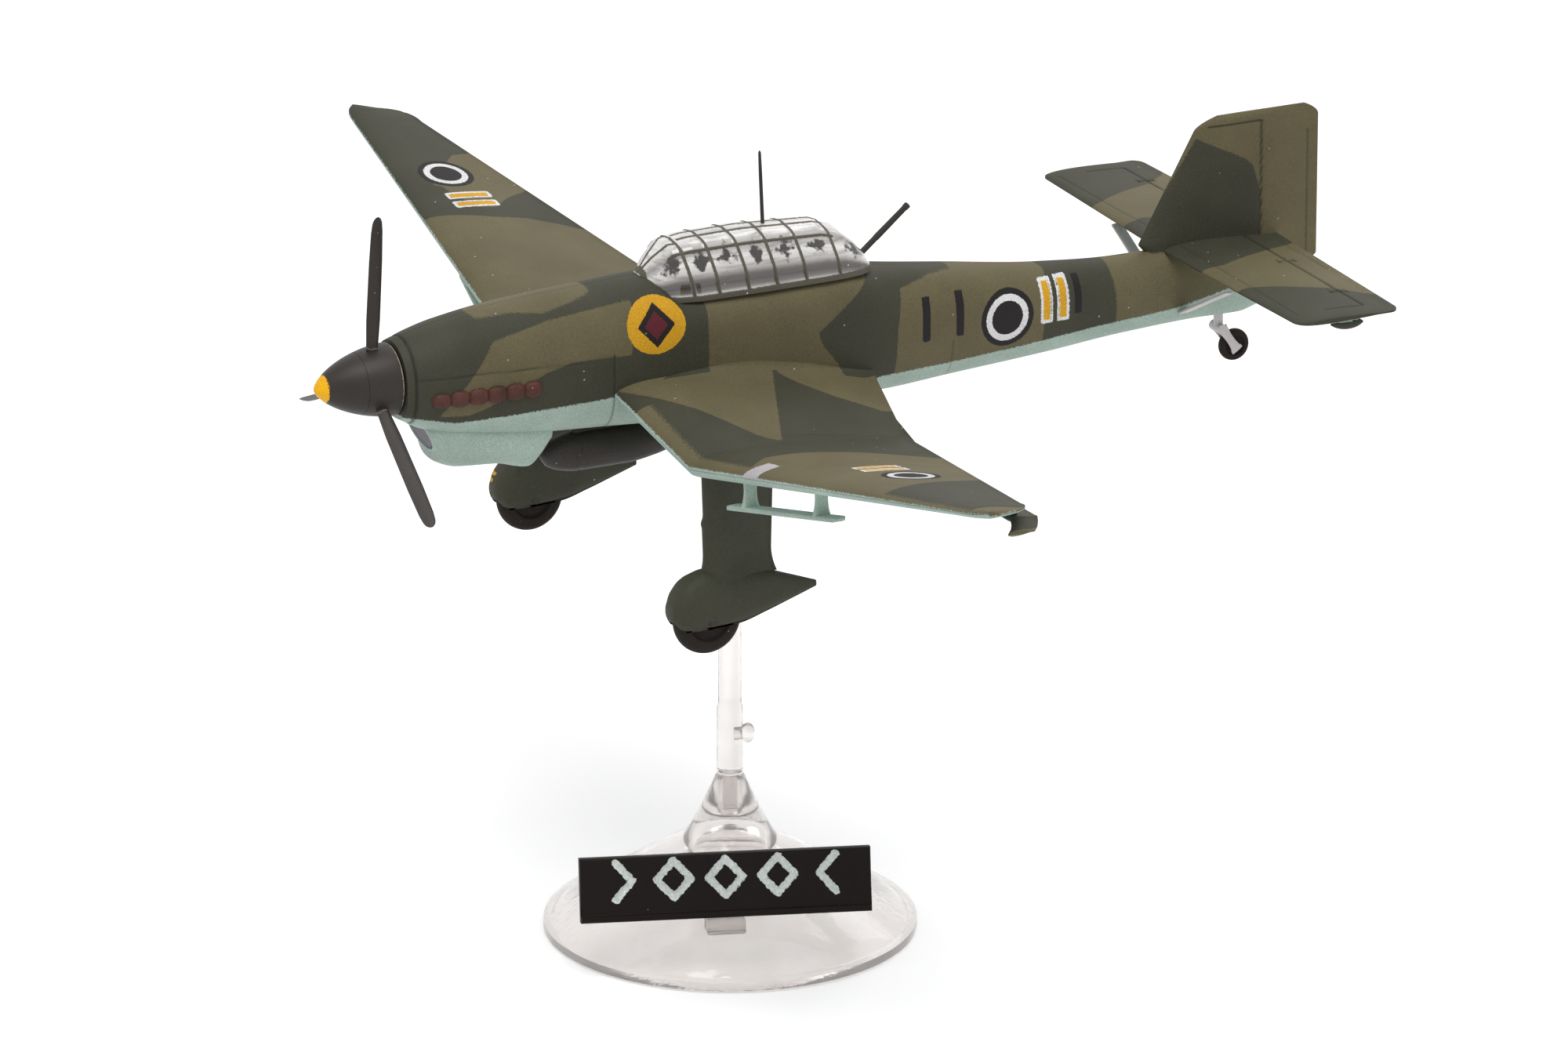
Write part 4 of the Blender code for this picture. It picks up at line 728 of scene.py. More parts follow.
for word, side in SIDES:
    outer = np.dstack([station[:, None] + 0 * side_y, side * side_y, side_z])
    fin = np.dstack([fin_x, side * fin_y, fin_level])
    back_wall = np.dstack([fin_x[:, [-1, 0]], np.full((len(fin_z), 2), side * 0.008), fin_level[:, [-1, 0]]])
    shape = together(lofted(outer), lofted(np.concatenate([fin, back_wall], 1)))
    points = shape[0]
    paint = side_paint(points, side == 1)
    on_fin = points[:, 2] > np.interp(-points[:, 0], -FUSELAGE[:, 0], FUSELAGE[:, 1]) + 0.05
    on_fin = on_fin & (points[:, 0] < -60.0) | (points[:, 0] < -70.4)
    paint["splinter"] = np.where(on_fin, -outline(points[:, [0, 2]], GREEN_ON_FIN), paint["splinter"])
    # The groove depths are kept on the points as painted shade for the grooves.
    engraved = [deep / 0.07, [[0, 0]], np.concatenate([hinge / 0.07, np.zeros((len(fin_z), 2))], 1), [[0, 0]]]
    paint["wash"] = np.clip(np.concatenate([np.ravel(values) for values in engraved]), 0, 1)
    paint["belly"] = np.where(points[:, 0] < -70.6, -1.0 - points[:, 2] - 1.6, paint["belly"])
    nodes = ["fuselage_" + word]
    aircraft_piece("fuselage_half_" + word, shape, "camouflage_paint", camouflage, nodes, **paint)

# ---------------------------------------------------------------- wings with strips and brakes
# Each wing is an upper and a lower moulding, glued at its edges, cranked down and then up. Flap and
# aileron strips hang behind it on small brackets, and a dive brake bar hangs below its front edge.
KINK, BACK_KINK = 13.2, 11.6
TIP_START, TIP_LENGTH = 45.0, 3.0
STRIP_DROP, HORN_START, HORN_LENGTH = 0.95, 45.3, 1.4
BRAKE_START, BRAKE_STOP = 16.9, 28.6
BROWN_ON_WING = {
    1: [
        [
            (-20.0, 2.5), (-20.6, 3.8), (-21.2, 4.65), (-24.2, 7.9), (-27.0, 12.2), (-27.8, 12.95),
            (-31.6, 3.9), (-31.9, 2.5),
        ],
        [(-32.0, 3.9), (-34.8, 6.5), (-37.5, 8.2), (-39.5, 8.4), (-43, 8), (-43, 2.5), (-31.9, 2.5)],
        [
            (-20, 20.5), (-22.2, 19.6), (-23.9, 18.1), (-26.4, 18.1), (-30, 19.6), (-34, 22.6), (-38, 25),
            (-36, 33), (-31, 33.8), (-27, 34.9), (-23.8, 36.2), (-20, 37),
        ],
        [(-20, 47.0), (-27, 46.6), (-30, 46.2), (-30, 50), (-20, 50)],
    ],
    -1: [
        [
            (-18, 31.9), (-22.7, 31.4), (-23.85, 31.0), (-25.2, 30.6), (-27.3, 30.0), (-29.45, 29.7),
            (-31.35, 28.9), (-33.06, 28.0), (-38, 26), (-43, 2.5), (-18, 2.5),
        ],
        [
            (-28.4, 39.6), (-32, 40.5), (-34, 35), (-31.3, 34.0), (-29.4, 32.8), (-28.0, 31.5), (-26.6, 31.6),
            (-25.6, 34.1), (-25.5, 34.9), (-24.9, 35.2), (-26.0, 36.6),
        ],
    ],
}


def wing_at(y):
    """Front and back edges, their heights and the thickness of the wing at distances from the middle:
    straight between root, crank and tip, then rounded off like a quarter ellipse."""
    front_at, back_at = (1.6, KINK, TIP_START), (1.6, BACK_KINK, TIP_START)
    front = np.interp(y, front_at, [-20.1, -20.8, -23.75])
    back = np.interp(y, back_at, [-39.9, -37.5, -28.6])
    front_z = np.interp(y, front_at, [-2.05, -4.6, 2.0])
    back_z = np.interp(y, back_at, [-3.65, -5.4, 1.75])
    thick = np.interp(y, front_at, [2.5, 2.1, 0.75])
    beyond = np.clip(y - TIP_START, 0, None)
    past = beyond / TIP_LENGTH
    round_off = 1 - np.sqrt(np.clip(1 - past**2, 0, 1))
    front = front - 2.95 / 31.8 * beyond - 0.6 * past**6
    back = back + 4.85 * 0.8 * round_off
    rise = 6.6 / 31.8 * beyond
    return front, back, front_z + rise, back_z + rise, thick * (1 - 0.5 * round_off)


def wing_paint(points, side, middle):
    """Inside distances of every paint on a wing, from its points behind and out from the middle. Middle
    is how far each point lies above the wing's middle surface."""
    flat = np.column_stack([points[:, 0], np.abs(points[:, 1])])
    paint = plain_paint(points, splinter=in_any(flat, BROWN_ON_WING[side]))
    front, _, _, _, thick = wing_at(flat[:, 1])
    nose = (front - flat[:, 0] < 1.6) & (flat[:, 1] > 6) & (side == 1)
    paint["belly"] = np.where(front - flat[:, 0] < 3, 0.085 * thick - middle, -1.0)
    paint["splinter"] = np.where(nose, np.maximum(paint["splinter"], 0.32 * thick - middle), paint["splinter"])
    centre, bar_back = ((-27.9, 31.2), -29.2) if side == 1 else ((-26.6, 36.7), -28.3)
    mark, ring = roundel(flat, centre, 1.95)
    bars = [centre[1] - 3.9 + off for off in (-0.65, 0.65)]
    gold = np.max([block(flat, (bar_back, y - 0.3), (bar_back + 3.0, y + 0.3)) for y in bars], axis=0)
    paint["yellow"] = gold
    paint["white"] = np.maximum(ring, 0.11 - abs(gold + 0.05))
    paint["black"] = np.where(ring > 0, -ring, mark)
    if side == 1:
        paint["grey"] = block(flat, (-23.35, 19.9), (-20.0, 21.6))
    return paint


tip_steps = TIP_START + TIP_LENGTH * np.sin(np.linspace(0, np.pi / 2, 26)) * 0.998
span = np.unique(np.concatenate([near_lines(2.2, TIP_START, 0.25, (BACK_KINK, KINK)), tip_steps]))
chord = chord_steps(84)[None]
front, back, front_z, back_z, thick = (value[:, None] for value in wing_at(span))
wing_x = front + (back - front) * chord
wing_middle = front_z + (back_z - front_z) * chord
wing_half = foil(chord, thick) - groove(span[:, None] - 46.6, 0.03, 0.08) * (chord > 0.2)
SEAM = 0.012
span_y = span[:, None] + 0 * wing_x
for word, side in SIDES:
    for skin, sign, finish_slot in (("upper", 1, "camouflage_paint"), ("lower", -1, "underside_paint")):
        outer = np.dstack([wing_x, side * span_y, wing_middle + sign * (SEAM + wing_half)])
        inner = np.dstack([wing_x, side * span_y, wing_middle + sign * SEAM])[:, ::-1]
        shape = lofted(np.concatenate([outer, inner], 1))
        points = shape[0]
        f, b, fz, bz, _ = wing_at(np.abs(points[:, 1]))
        above = points[:, 2] - (fz + (bz - fz) * np.clip((points[:, 0] - f) / (b - f), 0, 1))
        paint = wing_paint(points, side, above) if sign > 0 else plain_paint(points, belly=1.0)
        nodes = [f"wing_{skin}_{word}"]
        aircraft_piece(f"wing_{skin}_skin_{word}", shape, finish_slot, camouflage, nodes, sharp=60.0, **paint)


def strip_place(y):
    """How far along its drooped horn a hung strip is at distances from the middle, and its height."""
    horn = np.clip(y - HORN_START, 0, None) / HORN_LENGTH
    return horn, wing_at(y)[3] - STRIP_DROP - 0.65 * horn**0.8


def hung_strip(side, start, stop, overhang, inner_share):
    """A slim foil behind and below the back edge, on three brackets: rings of a thin foil along the span,
    with a drooped horn at the aileron's outer end, and upright rounded blocks up to the wing."""
    y = near_lines(start, stop, 0.5, (BACK_KINK, HORN_START))
    overhang = np.interp(y, [start, min(stop, start + 6)], [overhang * inner_share, overhang])
    horn, height = strip_place(y)
    share = chord_steps(24)
    half = foil(share, 0.36)
    x = (wing_at(y)[1] - overhang)[:, None] + 1.9 * (1 - share)[None] + 0.25 * horn[:, None]
    over = np.dstack([x, side * (y[:, None] + 0 * x), height[:, None] + half[None]])
    under = np.dstack([x, side * (y[:, None] + 0 * x), height[:, None] - half[None]])
    shapes = [lofted(np.concatenate([over, under[:, ::-1]], 1))]
    for place in (start + 0.8, (start + stop) / 2, min(stop, TIP_START) - 0.8):
        _, edge, _, edge_z, _ = (float(v) for v in wing_at(place))
        low = (edge + 0.1, place - 0.16, edge_z - STRIP_DROP)
        points, faces = bar(low, (edge + 0.55, place + 0.16, edge_z + 0.05), 0.08)
        shapes.append((points * [1, side, 1], faces))
    return together(*shapes)


def whole_turn(count):
    """Angles evenly round a circle."""
    return np.linspace(0, 2 * np.pi, count, endpoint=False)


def squared(wave, power):
    """A sine or cosine flattened at its crests, which makes a circle into a rounded box."""
    return np.sign(wave) * np.abs(wave) ** power


def brake_bar(side):
    """A flat-sided bar, tapered in plan, on two upright blades with flared feet."""
    y = near_lines(BRAKE_START, BRAKE_STOP, 0.4)
    front, _, front_z, _, _ = wing_at(y)
    centre = front - np.interp(y, [BRAKE_START, BRAKE_STOP], [0.9, 2.0])
    turn = whole_turn(24)
    end = np.clip(np.minimum(y - BRAKE_START + 0.05, BRAKE_STOP + 0.05 - y) / 0.35, 0.25, 1)[:, None] ** 0.5
    flat, tall = squared(np.cos(turn), 0.45), squared(np.sin(turn), 0.45)
    shapes = [lofted(np.dstack([
        centre[:, None] + 0.55 * end * flat,
        side * (y[:, None] + 0 * flat),
        (front_z - 2.35)[:, None] + 0.19 * end * tall,
    ]))]
    for place in (19.0, 26.5):
        leading, _, leading_z, _, _ = (float(v) for v in wing_at(place))
        middle = leading - np.interp(place, [BRAKE_START, BRAKE_STOP], [0.9, 2.0])
        z = np.linspace(0.0, 1.0, 14)[:, None]
        flare = 1 + 0.5 * (1 - z) ** 4 + 0.7 * z**6
        blade = np.dstack([
            middle + 0.42 * flare * flat,
            side * (place + 0.17 * flare * tall),
            leading_z - 2.25 + 2.3 * z + 0 * flat,
        ])
        shapes.append(lofted(blade))
    return together(*shapes)


for word, side in SIDES:
    for name, *measures in (("flap", 6.2, 12.9, 1.2, 0.2), ("aileron", 13.5, 46.7, 1.05, 1.0)):
        shape = hung_strip(side, *measures)
        x, y, z = shape[0].T
        patches = in_any(np.column_stack([x + 1, abs(y)]), BROWN_ON_WING[side])
        under = strip_place(abs(y))[1] - z - 0.05
        paint = plain_paint(shape[0], splinter=patches, belly=np.where(under > 0, under, -0.3))
        nodes = [f"{name}_{word}"]
        aircraft_piece(f"{name}_strip_{word}", shape, "camouflage_paint", camouflage, nodes, **paint)
    shape = brake_bar(side)
    paint = plain_paint(shape[0], belly=1.0)
    aircraft_piece("brake_bar_" + word, shape, "underside_paint", camouflage, ["dive_brake_" + word], **paint)

# Root fillets: a concave sweep from a line on the fuselage's side down on to the wing's top.
ridge_x = np.linspace(-20.35, -39.6, 110)
RIDGE = [
    # behind the tip, height
    (-20.3, -2.35), (-22.0, -1.95), (-23.75, -1.62), (-28.9, -1.35), (-32.6, -1.85), (-38.1, -3.3), (-39.8, -3.7),
]
ridge_z = eased(ridge_x, *np.transpose(RIDGE))
nearest = np.searchsorted(-station, -ridge_x).clip(0, len(station) - 1)
body_y = np.array([np.interp(z, side_z[k, ::-1], side_y[k, ::-1]) for z, k in zip(ridge_z, nearest)])
spread = 1.7 * np.sin(np.pi * np.clip((ridge_x + 20.2) / -19.6, 0.03, 0.97)) ** 0.5


def wing_top(x, y):
    """Height of the wing's top at places behind the tip and out from the middle."""
    f, b, fz, bz, thick = wing_at(y)
    share = np.clip((x - f) / (b - f), 0.004, 0.996)
    return fz + (bz - fz) * share + foil(share, thick)


def swept(start, corner, stop):
    """Rows of a curve from its start to its stop that is drawn towards a corner between them."""
    t = np.linspace(0, 1, 16)[None]
    return start[:, None] * (1 - t) ** 2 + 2 * t * (1 - t) * corner[:, None] + t**2 * stop[:, None]


fillet_y = swept(body_y, body_y + 0.12, body_y + spread)
fillet_z = swept(ridge_z, wing_top(ridge_x, body_y) + 0.02, wing_top(ridge_x, body_y + spread) + 0.005)
for word, side in SIDES:
    sweep = np.dstack([ridge_x[:, None] + 0 * fillet_y, side * fillet_y, fillet_z])
    under = sweep[:, [-1, 0]] - np.array([[0, 0, 0.3], [0, side * 0.35, 0.3]])
    shape = lofted(np.concatenate([sweep, under], 1))
    points = shape[0]
    patches = in_any(np.column_stack([points[:, 0], abs(points[:, 1])]), BROWN_ON_WING[side])
    blend = np.where(abs(points[:, 1]) > 3.75, patches, in_any(points[:, [0, 2]], BROWN_ON_SIDE))
    paint = plain_paint(points, splinter=blend)
    aircraft_piece("root_fillet_" + word, shape, "camouflage_paint", camouflage, sharp=50.0, **paint)

# ---------------------------------------------------------------- undercarriage
# Fixed legs in fairings that run into wheel spats, cast as one piece a side. Each wheel turns on a
# pin inside its spat, so the spat is open below round the tyre. Painted all over in the dark green.
spat_x = near_lines(-19.2, -29.9, 0.14, (-19.38, -24.42))
SPAT_AT = [-29.9, -28, -26, -24, -21.9, -20.3, -19.7, -19.2]
spat_top = eased(spat_x, SPAT_AT, [-13.55, -12.85, -12.15, -11.7, -11.6, -12.1, -12.75, -13.6])[:, None]
spat_low = eased(spat_x, SPAT_AT, [-13.95, -14.45, -14.95, -15.4, -15.5, -15.5, -15.3, -14.7])[:, None]
spat_wide = 1.3 * eased(spat_x, SPAT_AT, [0.12, 0.4, 0.72, 0.93, 1, 0.98, 0.9, 0.5])[:, None]
well_half = np.minimum(0.74, 0.6 * spat_wide)
turn = np.linspace(-0.5 * np.pi, 1.5 * np.pi, 72)[None]
round_y = spat_wide * squared(np.cos(turn), 0.72)
round_z = (spat_top + spat_low) / 2 + (spat_top - spat_low) / 2 * squared(np.sin(turn), 0.72)
low_y = np.where(turn > np.pi, np.minimum(round_y, -well_half), round_y)
low_y = np.where(turn < 0, np.maximum(round_y, well_half), low_y)
ridge_away = spat_x[:, None] + 20.35 + 0.28 * (round_z + 13.4) ** 2 * 0.6
low_y = low_y + np.sign(low_y) * groove(ridge_away, 0.07, 0.16)
WELL_RADIUS, PIN_BEHIND = 2.54, 21.9
reach = np.sqrt(np.clip(WELL_RADIUS**2 - (spat_x + PIN_BEHIND) ** 2, 0, None))[:, None]
well_top = np.maximum(np.where(reach > 0, -14.95 + reach, -99), spat_low + 0.03)
well_top = np.minimum(well_top, spat_top - 0.35)
well = [(-well_half, spat_low), (-well_half, well_top), (well_half, well_top), (well_half, spat_low)]
well_rings = np.stack([np.concatenate([y, z], 1) for y, z in well], 1)
section = np.concatenate([np.dstack([low_y, round_z]), well_rings], 1)
wheel_low, wheel_high = (np.array(c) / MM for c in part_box("main_wheel_left"))
wheel_middle = (wheel_low + wheel_high) / 2 - NOSE
TRACK = wheel_middle[1]

drop = np.linspace(0.0, 1.0, 44)[:, None]
leg_top = float(wing_at(TRACK)[2]) + 0.5
leg_z = leg_top + (-12.35 - leg_top) * drop
flare = np.clip((drop - 0.78) / 0.22, 0, 1) ** 2.0
notch = 0.12 * np.exp(-(((leg_z + 8.35) / 0.25) ** 2)) - 0.1 / (1 + np.exp(-(leg_z + 8.4) / 0.08))
chord_share = chord_steps(40)[None]
leg_front = -21.45 - 0.3 * drop + 0.35 * flare
leg_x = leg_front + notch * (1 - chord_share) - (5.3 - 0.5 * drop + 0.8 * flare) * chord_share
leg_half = foil(chord_share, 1.0) * (1.6 + 0.75 * flare)
for word, side in SIDES:
    spat = np.dstack([spat_x[:, None] + 0 * section[..., 0], side * (TRACK + section[..., 0]), section[..., 1]])
    leg = np.concatenate([
        np.dstack([leg_x, side * (TRACK + leg_half), leg_z + 0 * leg_x]),
        np.dstack([leg_x, side * (TRACK - leg_half), leg_z + 0 * leg_x])[:, ::-1],
    ], 1)
    shape = together(lofted(spat), lofted(leg))
    points = shape[0]
    flat, rows = points[:, [0, 2]], np.arange(-14.9, -12.9, 0.42)
    dashes = np.max([block(flat, (-19.95, z), (-18.9, z + 0.22)) for z in rows], axis=0)
    gold = np.where(side * points[:, 1] > TRACK + 0.1, dashes, -1.0) if side < 0 else -1.0
    paint = plain_paint(points, yellow=gold)
    nodes = ["gear_leg_" + word]
    aircraft_piece("leg_and_spat_" + word, shape, "camouflage_paint", camouflage, nodes, sharp=45.0, **paint)

TYRE = [
    # share of the half width, share of the radius
    (-0.5, 0.17), (-1.0, 0.3), (-0.55, 0.4), (-0.6, 0.56), (-1.0, 0.64), (-1.02, 0.8), (-0.85, 0.9),
    (-0.5, 0.975), (0.0, 1.0),
]
tyre_loop = np.array(TYRE + [(-a, r) for a, r in TYRE[::-1][1:]])
tyre_steps = np.linspace(0, len(tyre_loop) - 1, 49)
rubber, tree, shader = finish("tyre_paint", Roughness=0.72, Specular_IOR_Level=0.2)
grained(tree, shader, tint(38, 32, 29), tint(120, 114, 106), 0.00002, broad=700.0, tone=0.16, cloud=0.2)


def tyre(width, radius, bore):
    """The closed outline of a tyre from its table, eased along its length, as (across, radius)."""
    at = np.arange(len(tyre_loop))
    across, out = (eased(tyre_steps, at, tyre_loop[:, k]) for k in (0, 1))
    return np.column_stack([across * width / 2, np.maximum(out * radius, bore)])


for word, side in SIDES:
    middle = wheel_middle * [1, side, 1]
    shape = turned(tyre(1.2, 2.4, 0.41), middle + NOSE, (0, 1, 0), 96, looped=True)
    make("tyre_" + word, shape, f"{word}_wheel", "tyre_black", rubber, ["main_wheel_" + word], sharp=50.0)

# ---------------------------------------------------------------- nose
# The radiator hangs under the cowl in a pale housing with its dark core set back in the mouth. A row
# of six exhaust stubs stands out of each side, painted rusty brown.
turn = whole_turn(64)
facing = np.array([0.8, 0.0, -0.35]) / np.hypot(0.8, 0.35)
upward = np.array([0.35, 0.0, 0.8]) / np.hypot(0.8, 0.35)
mouth = np.array([-7.6, 0.0, -4.05])


def oval(depth, half_width, half_height):
    """An oval round the mouth's middle, moved along the way that the mouth faces."""
    level = np.outer(np.cos(turn) * half_width, (0, 1, 0))
    return mouth + facing * depth + level + np.outer(np.sin(turn) * half_height, upward)


chin_x = np.linspace(-8.3, -16.3, 60)
CHIN_AT = [-7.6, -8.3, -9.6, -12.6, -14.8, -15.5, -16.3]
chin_top = eased(chin_x, CHIN_AT, [-2.6, -2.6, -2.7, -3.2, -3.4, -3.6, -3.8])
chin_low = eased(chin_x, CHIN_AT, [-5.2, -6.0, -6.5, -6.75, -7.3, -6.7, -5.6])
chin_wide = eased(chin_x, CHIN_AT, [1.7, 2.1, 2.35, 2.4, 2.3, 2.2, 2.0])
flat, tall = squared(np.cos(turn), 0.78), squared(np.sin(turn), 0.78)
chin_rings = np.dstack([
    chin_x[:, None] + 0 * turn[None],
    chin_wide[:, None] * flat,
    ((chin_top + chin_low) / 2)[:, None] + ((chin_top - chin_low) / 2)[:, None] * tall,
])
chin_rings[..., 2] -= groove(chin_rings[..., 0] + 14.1, 0.06, 0.08) * np.sign(tall)
LIP = ((-1.1, -0.05), (-0.2, -0.03), (0.0, 0.0), (0.04, 0.06), (0.0, 0.16), (-0.15, 0.3))
lips = np.stack([oval(depth, 1.6 + grow, 1.25 + grow) for depth, grow in LIP])
shape = lofted(np.concatenate([lips, chin_rings]))
paint = plain_paint(shape[0], belly=1.0)
aircraft_piece("radiator_cowl", shape, "underside_paint", camouflage, ["radiator_housing"], **paint)

CORE = ((-1.15, 0.95), (-0.1, 1.0), (-0.04, 0.96), (-0.04, 0.3))
cooling, tree, shader = finish("radiator_core_paint", Roughness=0.5, Metallic=0.2)
rows = add(tree, "ShaderNodeTexWave", {"Vector": own_place(tree), "Scale": 900.0}, bands_direction="Z")
colour = mixed(tree, rows.outputs["Fac"], tint(44, 40, 48), tint(84, 78, 92))
grained(tree, shader, colour, tint(150, 146, 150), 0.00002, specks=0.2)
shape = lofted(np.stack([oval(depth, 1.56 * size, 1.21 * size) for depth, size in CORE]))
aircraft_piece("radiator_matrix", shape, "radiator_grey", cooling, ["radiator_core"])

rust, tree, shader = finish("exhaust_paint", Roughness=0.6, Specular_IOR_Level=0.3)
colour = mixed(tree, noise(tree, 1500.0, 4.0), tint(48, 27, 22), tint(96, 54, 44))
grained(tree, shader, colour, tint(150, 120, 105), 0.00002, tone=0.2)
STUBS = 6
along = np.linspace(0, 1, STUBS * 16 + 1)
lobe = np.abs(np.sin(np.pi * STUBS * along)) ** 0.6
ends = np.clip(np.minimum(along, 1 - along) * STUBS / 0.28, 0, 1)
ends = np.sqrt(np.clip(1 - (1 - ends) ** 2, 0.05, 1))
size = (0.5 + 0.5 * lobe) * ends * (0.8 + 0.2 * np.clip(along * 4, 0, 1))
stub_x = -7.1 + (-14.9 + 7.1) * along
body_half = eased(stub_x, FUSELAGE[:, 0], FUSELAGE[:, 3])
swell = np.linspace(-0.5 * np.pi, 0.5 * np.pi, 15)[None]
out_y = body_half[:, None] - 0.05 + 0.48 * size[:, None] * np.cos(swell) ** 0.7
out_z = -1.0 + 0.56 * np.clip(size[:, None] * 1.05, 0, 1) * np.sin(swell)
stub_y = np.hstack([out_y, np.repeat(body_half[:, None] - 0.5, 2, 1)])
stub_z = np.hstack([out_z, out_z[:, [-1, 0]]])
for word, side in SIDES:
    shape = lofted(np.dstack([stub_x[:, None] + 0 * stub_y, side * stub_y, stub_z]))
    aircraft_piece("exhaust_stubs_" + word, shape, "exhaust_brown", rust, ["exhaust_" + word], sharp=70.0)

# ---------------------------------------------------------------- tail
# Tailplane halves with engraved elevator lines, balance lobes under their tips and a flat silver
# strut each, and the castoring tail wheel in its silver fork.
BROWN_ON_TAIL = [
    (-61, 5.2), (-64.6, 5.8), (-71.6, 2.7), (-73.5, 2.6), (-73.5, 16.2), (-71.4, 15.2), (-69.0, 12.9),
    (-66.5, 11.8), (-63.9, 10.5), (-61, 10),
]
TAIL_TIP, TAIL_TIP_LENGTH, HINGES, ELEVATOR_END, TAIL_HEIGHT = 17.6, 0.9, (6.4, 13.6), 16.9, 0.5
tip_steps = TAIL_TIP + TAIL_TIP_LENGTH * np.sin(np.linspace(0, np.pi / 2, 14))
tail_span = np.concatenate([near_lines(0.2, TAIL_TIP, 0.2, (0.5, *HINGES, ELEVATOR_END)), tip_steps])
tail_span = np.unique(tail_span)
past = np.clip((tail_span - TAIL_TIP) / TAIL_TIP_LENGTH, 0, 1)
curl = 1 - np.sqrt(1 - past**2 * 0.985)
tail_front, tail_back, tail_thick = (
    np.interp(tail_span, [0.3, 17.9], ends)[:, None] for ends in ([-62.9, -63.4], [-71.7, -71.1], [0.95, 0.6])
)
curl = curl[:, None]
tail_front, tail_back = tail_front - 1.1 * curl, tail_back + 0.8 * curl
chord = chord_steps(110)[None]
tail_x = tail_front + (tail_back - tail_front) * chord
tail_half = foil(chord, tail_thick * (1 - 0.6 * curl))
tail_y = tail_span[:, None] + 0 * tail_x
cut = groove(tail_x + 69.1, 0.09, 0.09) * (tail_y < ELEVATOR_END)
cut = cut + groove(tail_x + 64.05, 0.035, 0.07) * (tail_y < 17.0) * (tail_y > 0.5)
for place in HINGES:
    off = abs(tail_x + 69.0)
    cut = cut + groove(tail_y - place, 0.09, 0.1) * (off < 0.65)
    cut = cut + groove(off - 0.6, 0.06, 0.08) * (abs(tail_y - place) < 0.35)
cut = cut + groove(tail_y - ELEVATOR_END, 0.06, 0.08) * (tail_x < -66.2) * (tail_x > -69.1)
cut = cut + groove(tail_x + 70.9, 0.03, 0.07) * (tail_y > 2) * (tail_y < 9)
tail_half = tail_half - np.minimum(cut, 0.6 * tail_half)
silver, tree, shader = finish("silver_paint", Roughness=0.42, Metallic=0.25)
grained(tree, shader, tint(190, 185, 185), tint(110, 104, 100), 0.00002, tone=0.1, cloud=0.12)
run = np.linspace(0, 1, 20)
lobe = np.column_stack([-0.1 + 2.4 * run, 0.42 * np.sin(np.pi * np.clip(run, 0.02, 0.98)) ** 0.55])
foot, head = np.array([-64.0, 1.3, -3.68]), np.array([-63.9, 8.2, -0.17])
run = np.linspace(0, 1, 12)[:, None, None]
turn = whole_turn(20)[None, :, None]
thin = np.cross((head - foot) / np.linalg.norm(head - foot), (1, 0, 0))
strut = foot + (head - foot) * run + 0.42 * np.cos(turn) * np.array([1, 0, 0])
strut = strut + 0.12 * squared(np.sin(turn), 0.6) * thin
for word, side in SIDES:
    over = np.dstack([tail_x, side * tail_y, TAIL_HEIGHT + tail_half])
    under = np.dstack([tail_x, side * tail_y, TAIL_HEIGHT - tail_half])[:, ::-1]
    shape = together(
        lofted(np.concatenate([over, under], 1)),
        turned(lobe, (-66.5, side * 17.4, -0.15), (-1, 0, -0.05), 24),
        bar((-68.2, side * 17.4 - 0.15, -0.1), (-67.2, side * 17.4 + 0.15, 0.45), 0.05),
    )
    points = shape[0]
    flat = np.column_stack([points[:, 0], abs(points[:, 1])])
    brown = np.where(points[:, 2] > 0.1, outline(flat, BROWN_ON_TAIL), -1.0)
    pale = np.where((points[:, 2] < 0.45) & (points[:, 2] > -0.02), 0.38 - points[:, 2], -1.0)
    # The engraved depth is kept on the points as painted shade in the grooves.
    engraved = np.zeros(len(points))
    engraved[: 2 * cut.size] = np.clip(np.concatenate([cut, cut[:, ::-1]], 1).ravel() / 0.08, 0, 1)
    paint = plain_paint(points, splinter=brown, belly=pale, wash=engraved)
    nodes = ["stabiliser_" + word]
    aircraft_piece("tailplane_" + word, shape, "camouflage_paint", camouflage, nodes, sharp=60.0, **paint)
    shape = lofted(strut * [1, side, 1])
    aircraft_piece("tail_strut_" + word, shape, "silver_paint", silver, ["stabiliser_strut_" + word])

FORK_X, YOKE, ARM_OUT = -67.4, -5.55, 0.56
drop = np.linspace(0, 1, 14)[:, None, None]
wide = 0.4 - 0.12 * np.sin(np.pi * drop) + 0.05 * (drop > 0.9)
fork_arm = np.array([FORK_X, 0, YOKE]) + np.array([-1.2, 0, -1.75]) * drop
fork_arm = fork_arm + wide * np.cos(turn) * np.array([0.82, 0, -0.57])
fork_arm = fork_arm + 0.13 * squared(np.sin(turn), 0.5) * np.array([0, 1, 0])
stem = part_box("tail_fork")[1][2] / MM - NOSE[2] - YOKE
post = [(0, 0.2), (0.05, 0.33), (stem + 0.15, 0.33), (stem + 0.2, 0.25)]
yoke_bar = [(-0.69, 0.2), (-0.66, 0.36), (0.66, 0.36), (0.69, 0.2)]
shape = together(
    *(lofted(fork_arm + [0, side * ARM_OUT, 0]) for side in (1, -1)),
    turned(post, (FORK_X, 0, YOKE - 0.2), (0, 0, 1), 32),
    turned(yoke_bar, (FORK_X, 0, YOKE - 0.1), (0, 1, 0), 32),
)
aircraft_piece("castor_fork", shape, "silver_paint", silver, ["tail_fork"])
low, high = (np.array(c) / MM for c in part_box("tail_wheel"))
shape = turned(tyre(0.62, 1.12, 0.3), (low + high) / 2, (0, 1, 0), 72, looped=True)
make("tail_tyre", shape, "rear_wheel", "tyre_black", rubber, ["tail_wheel"], sharp=50.0)
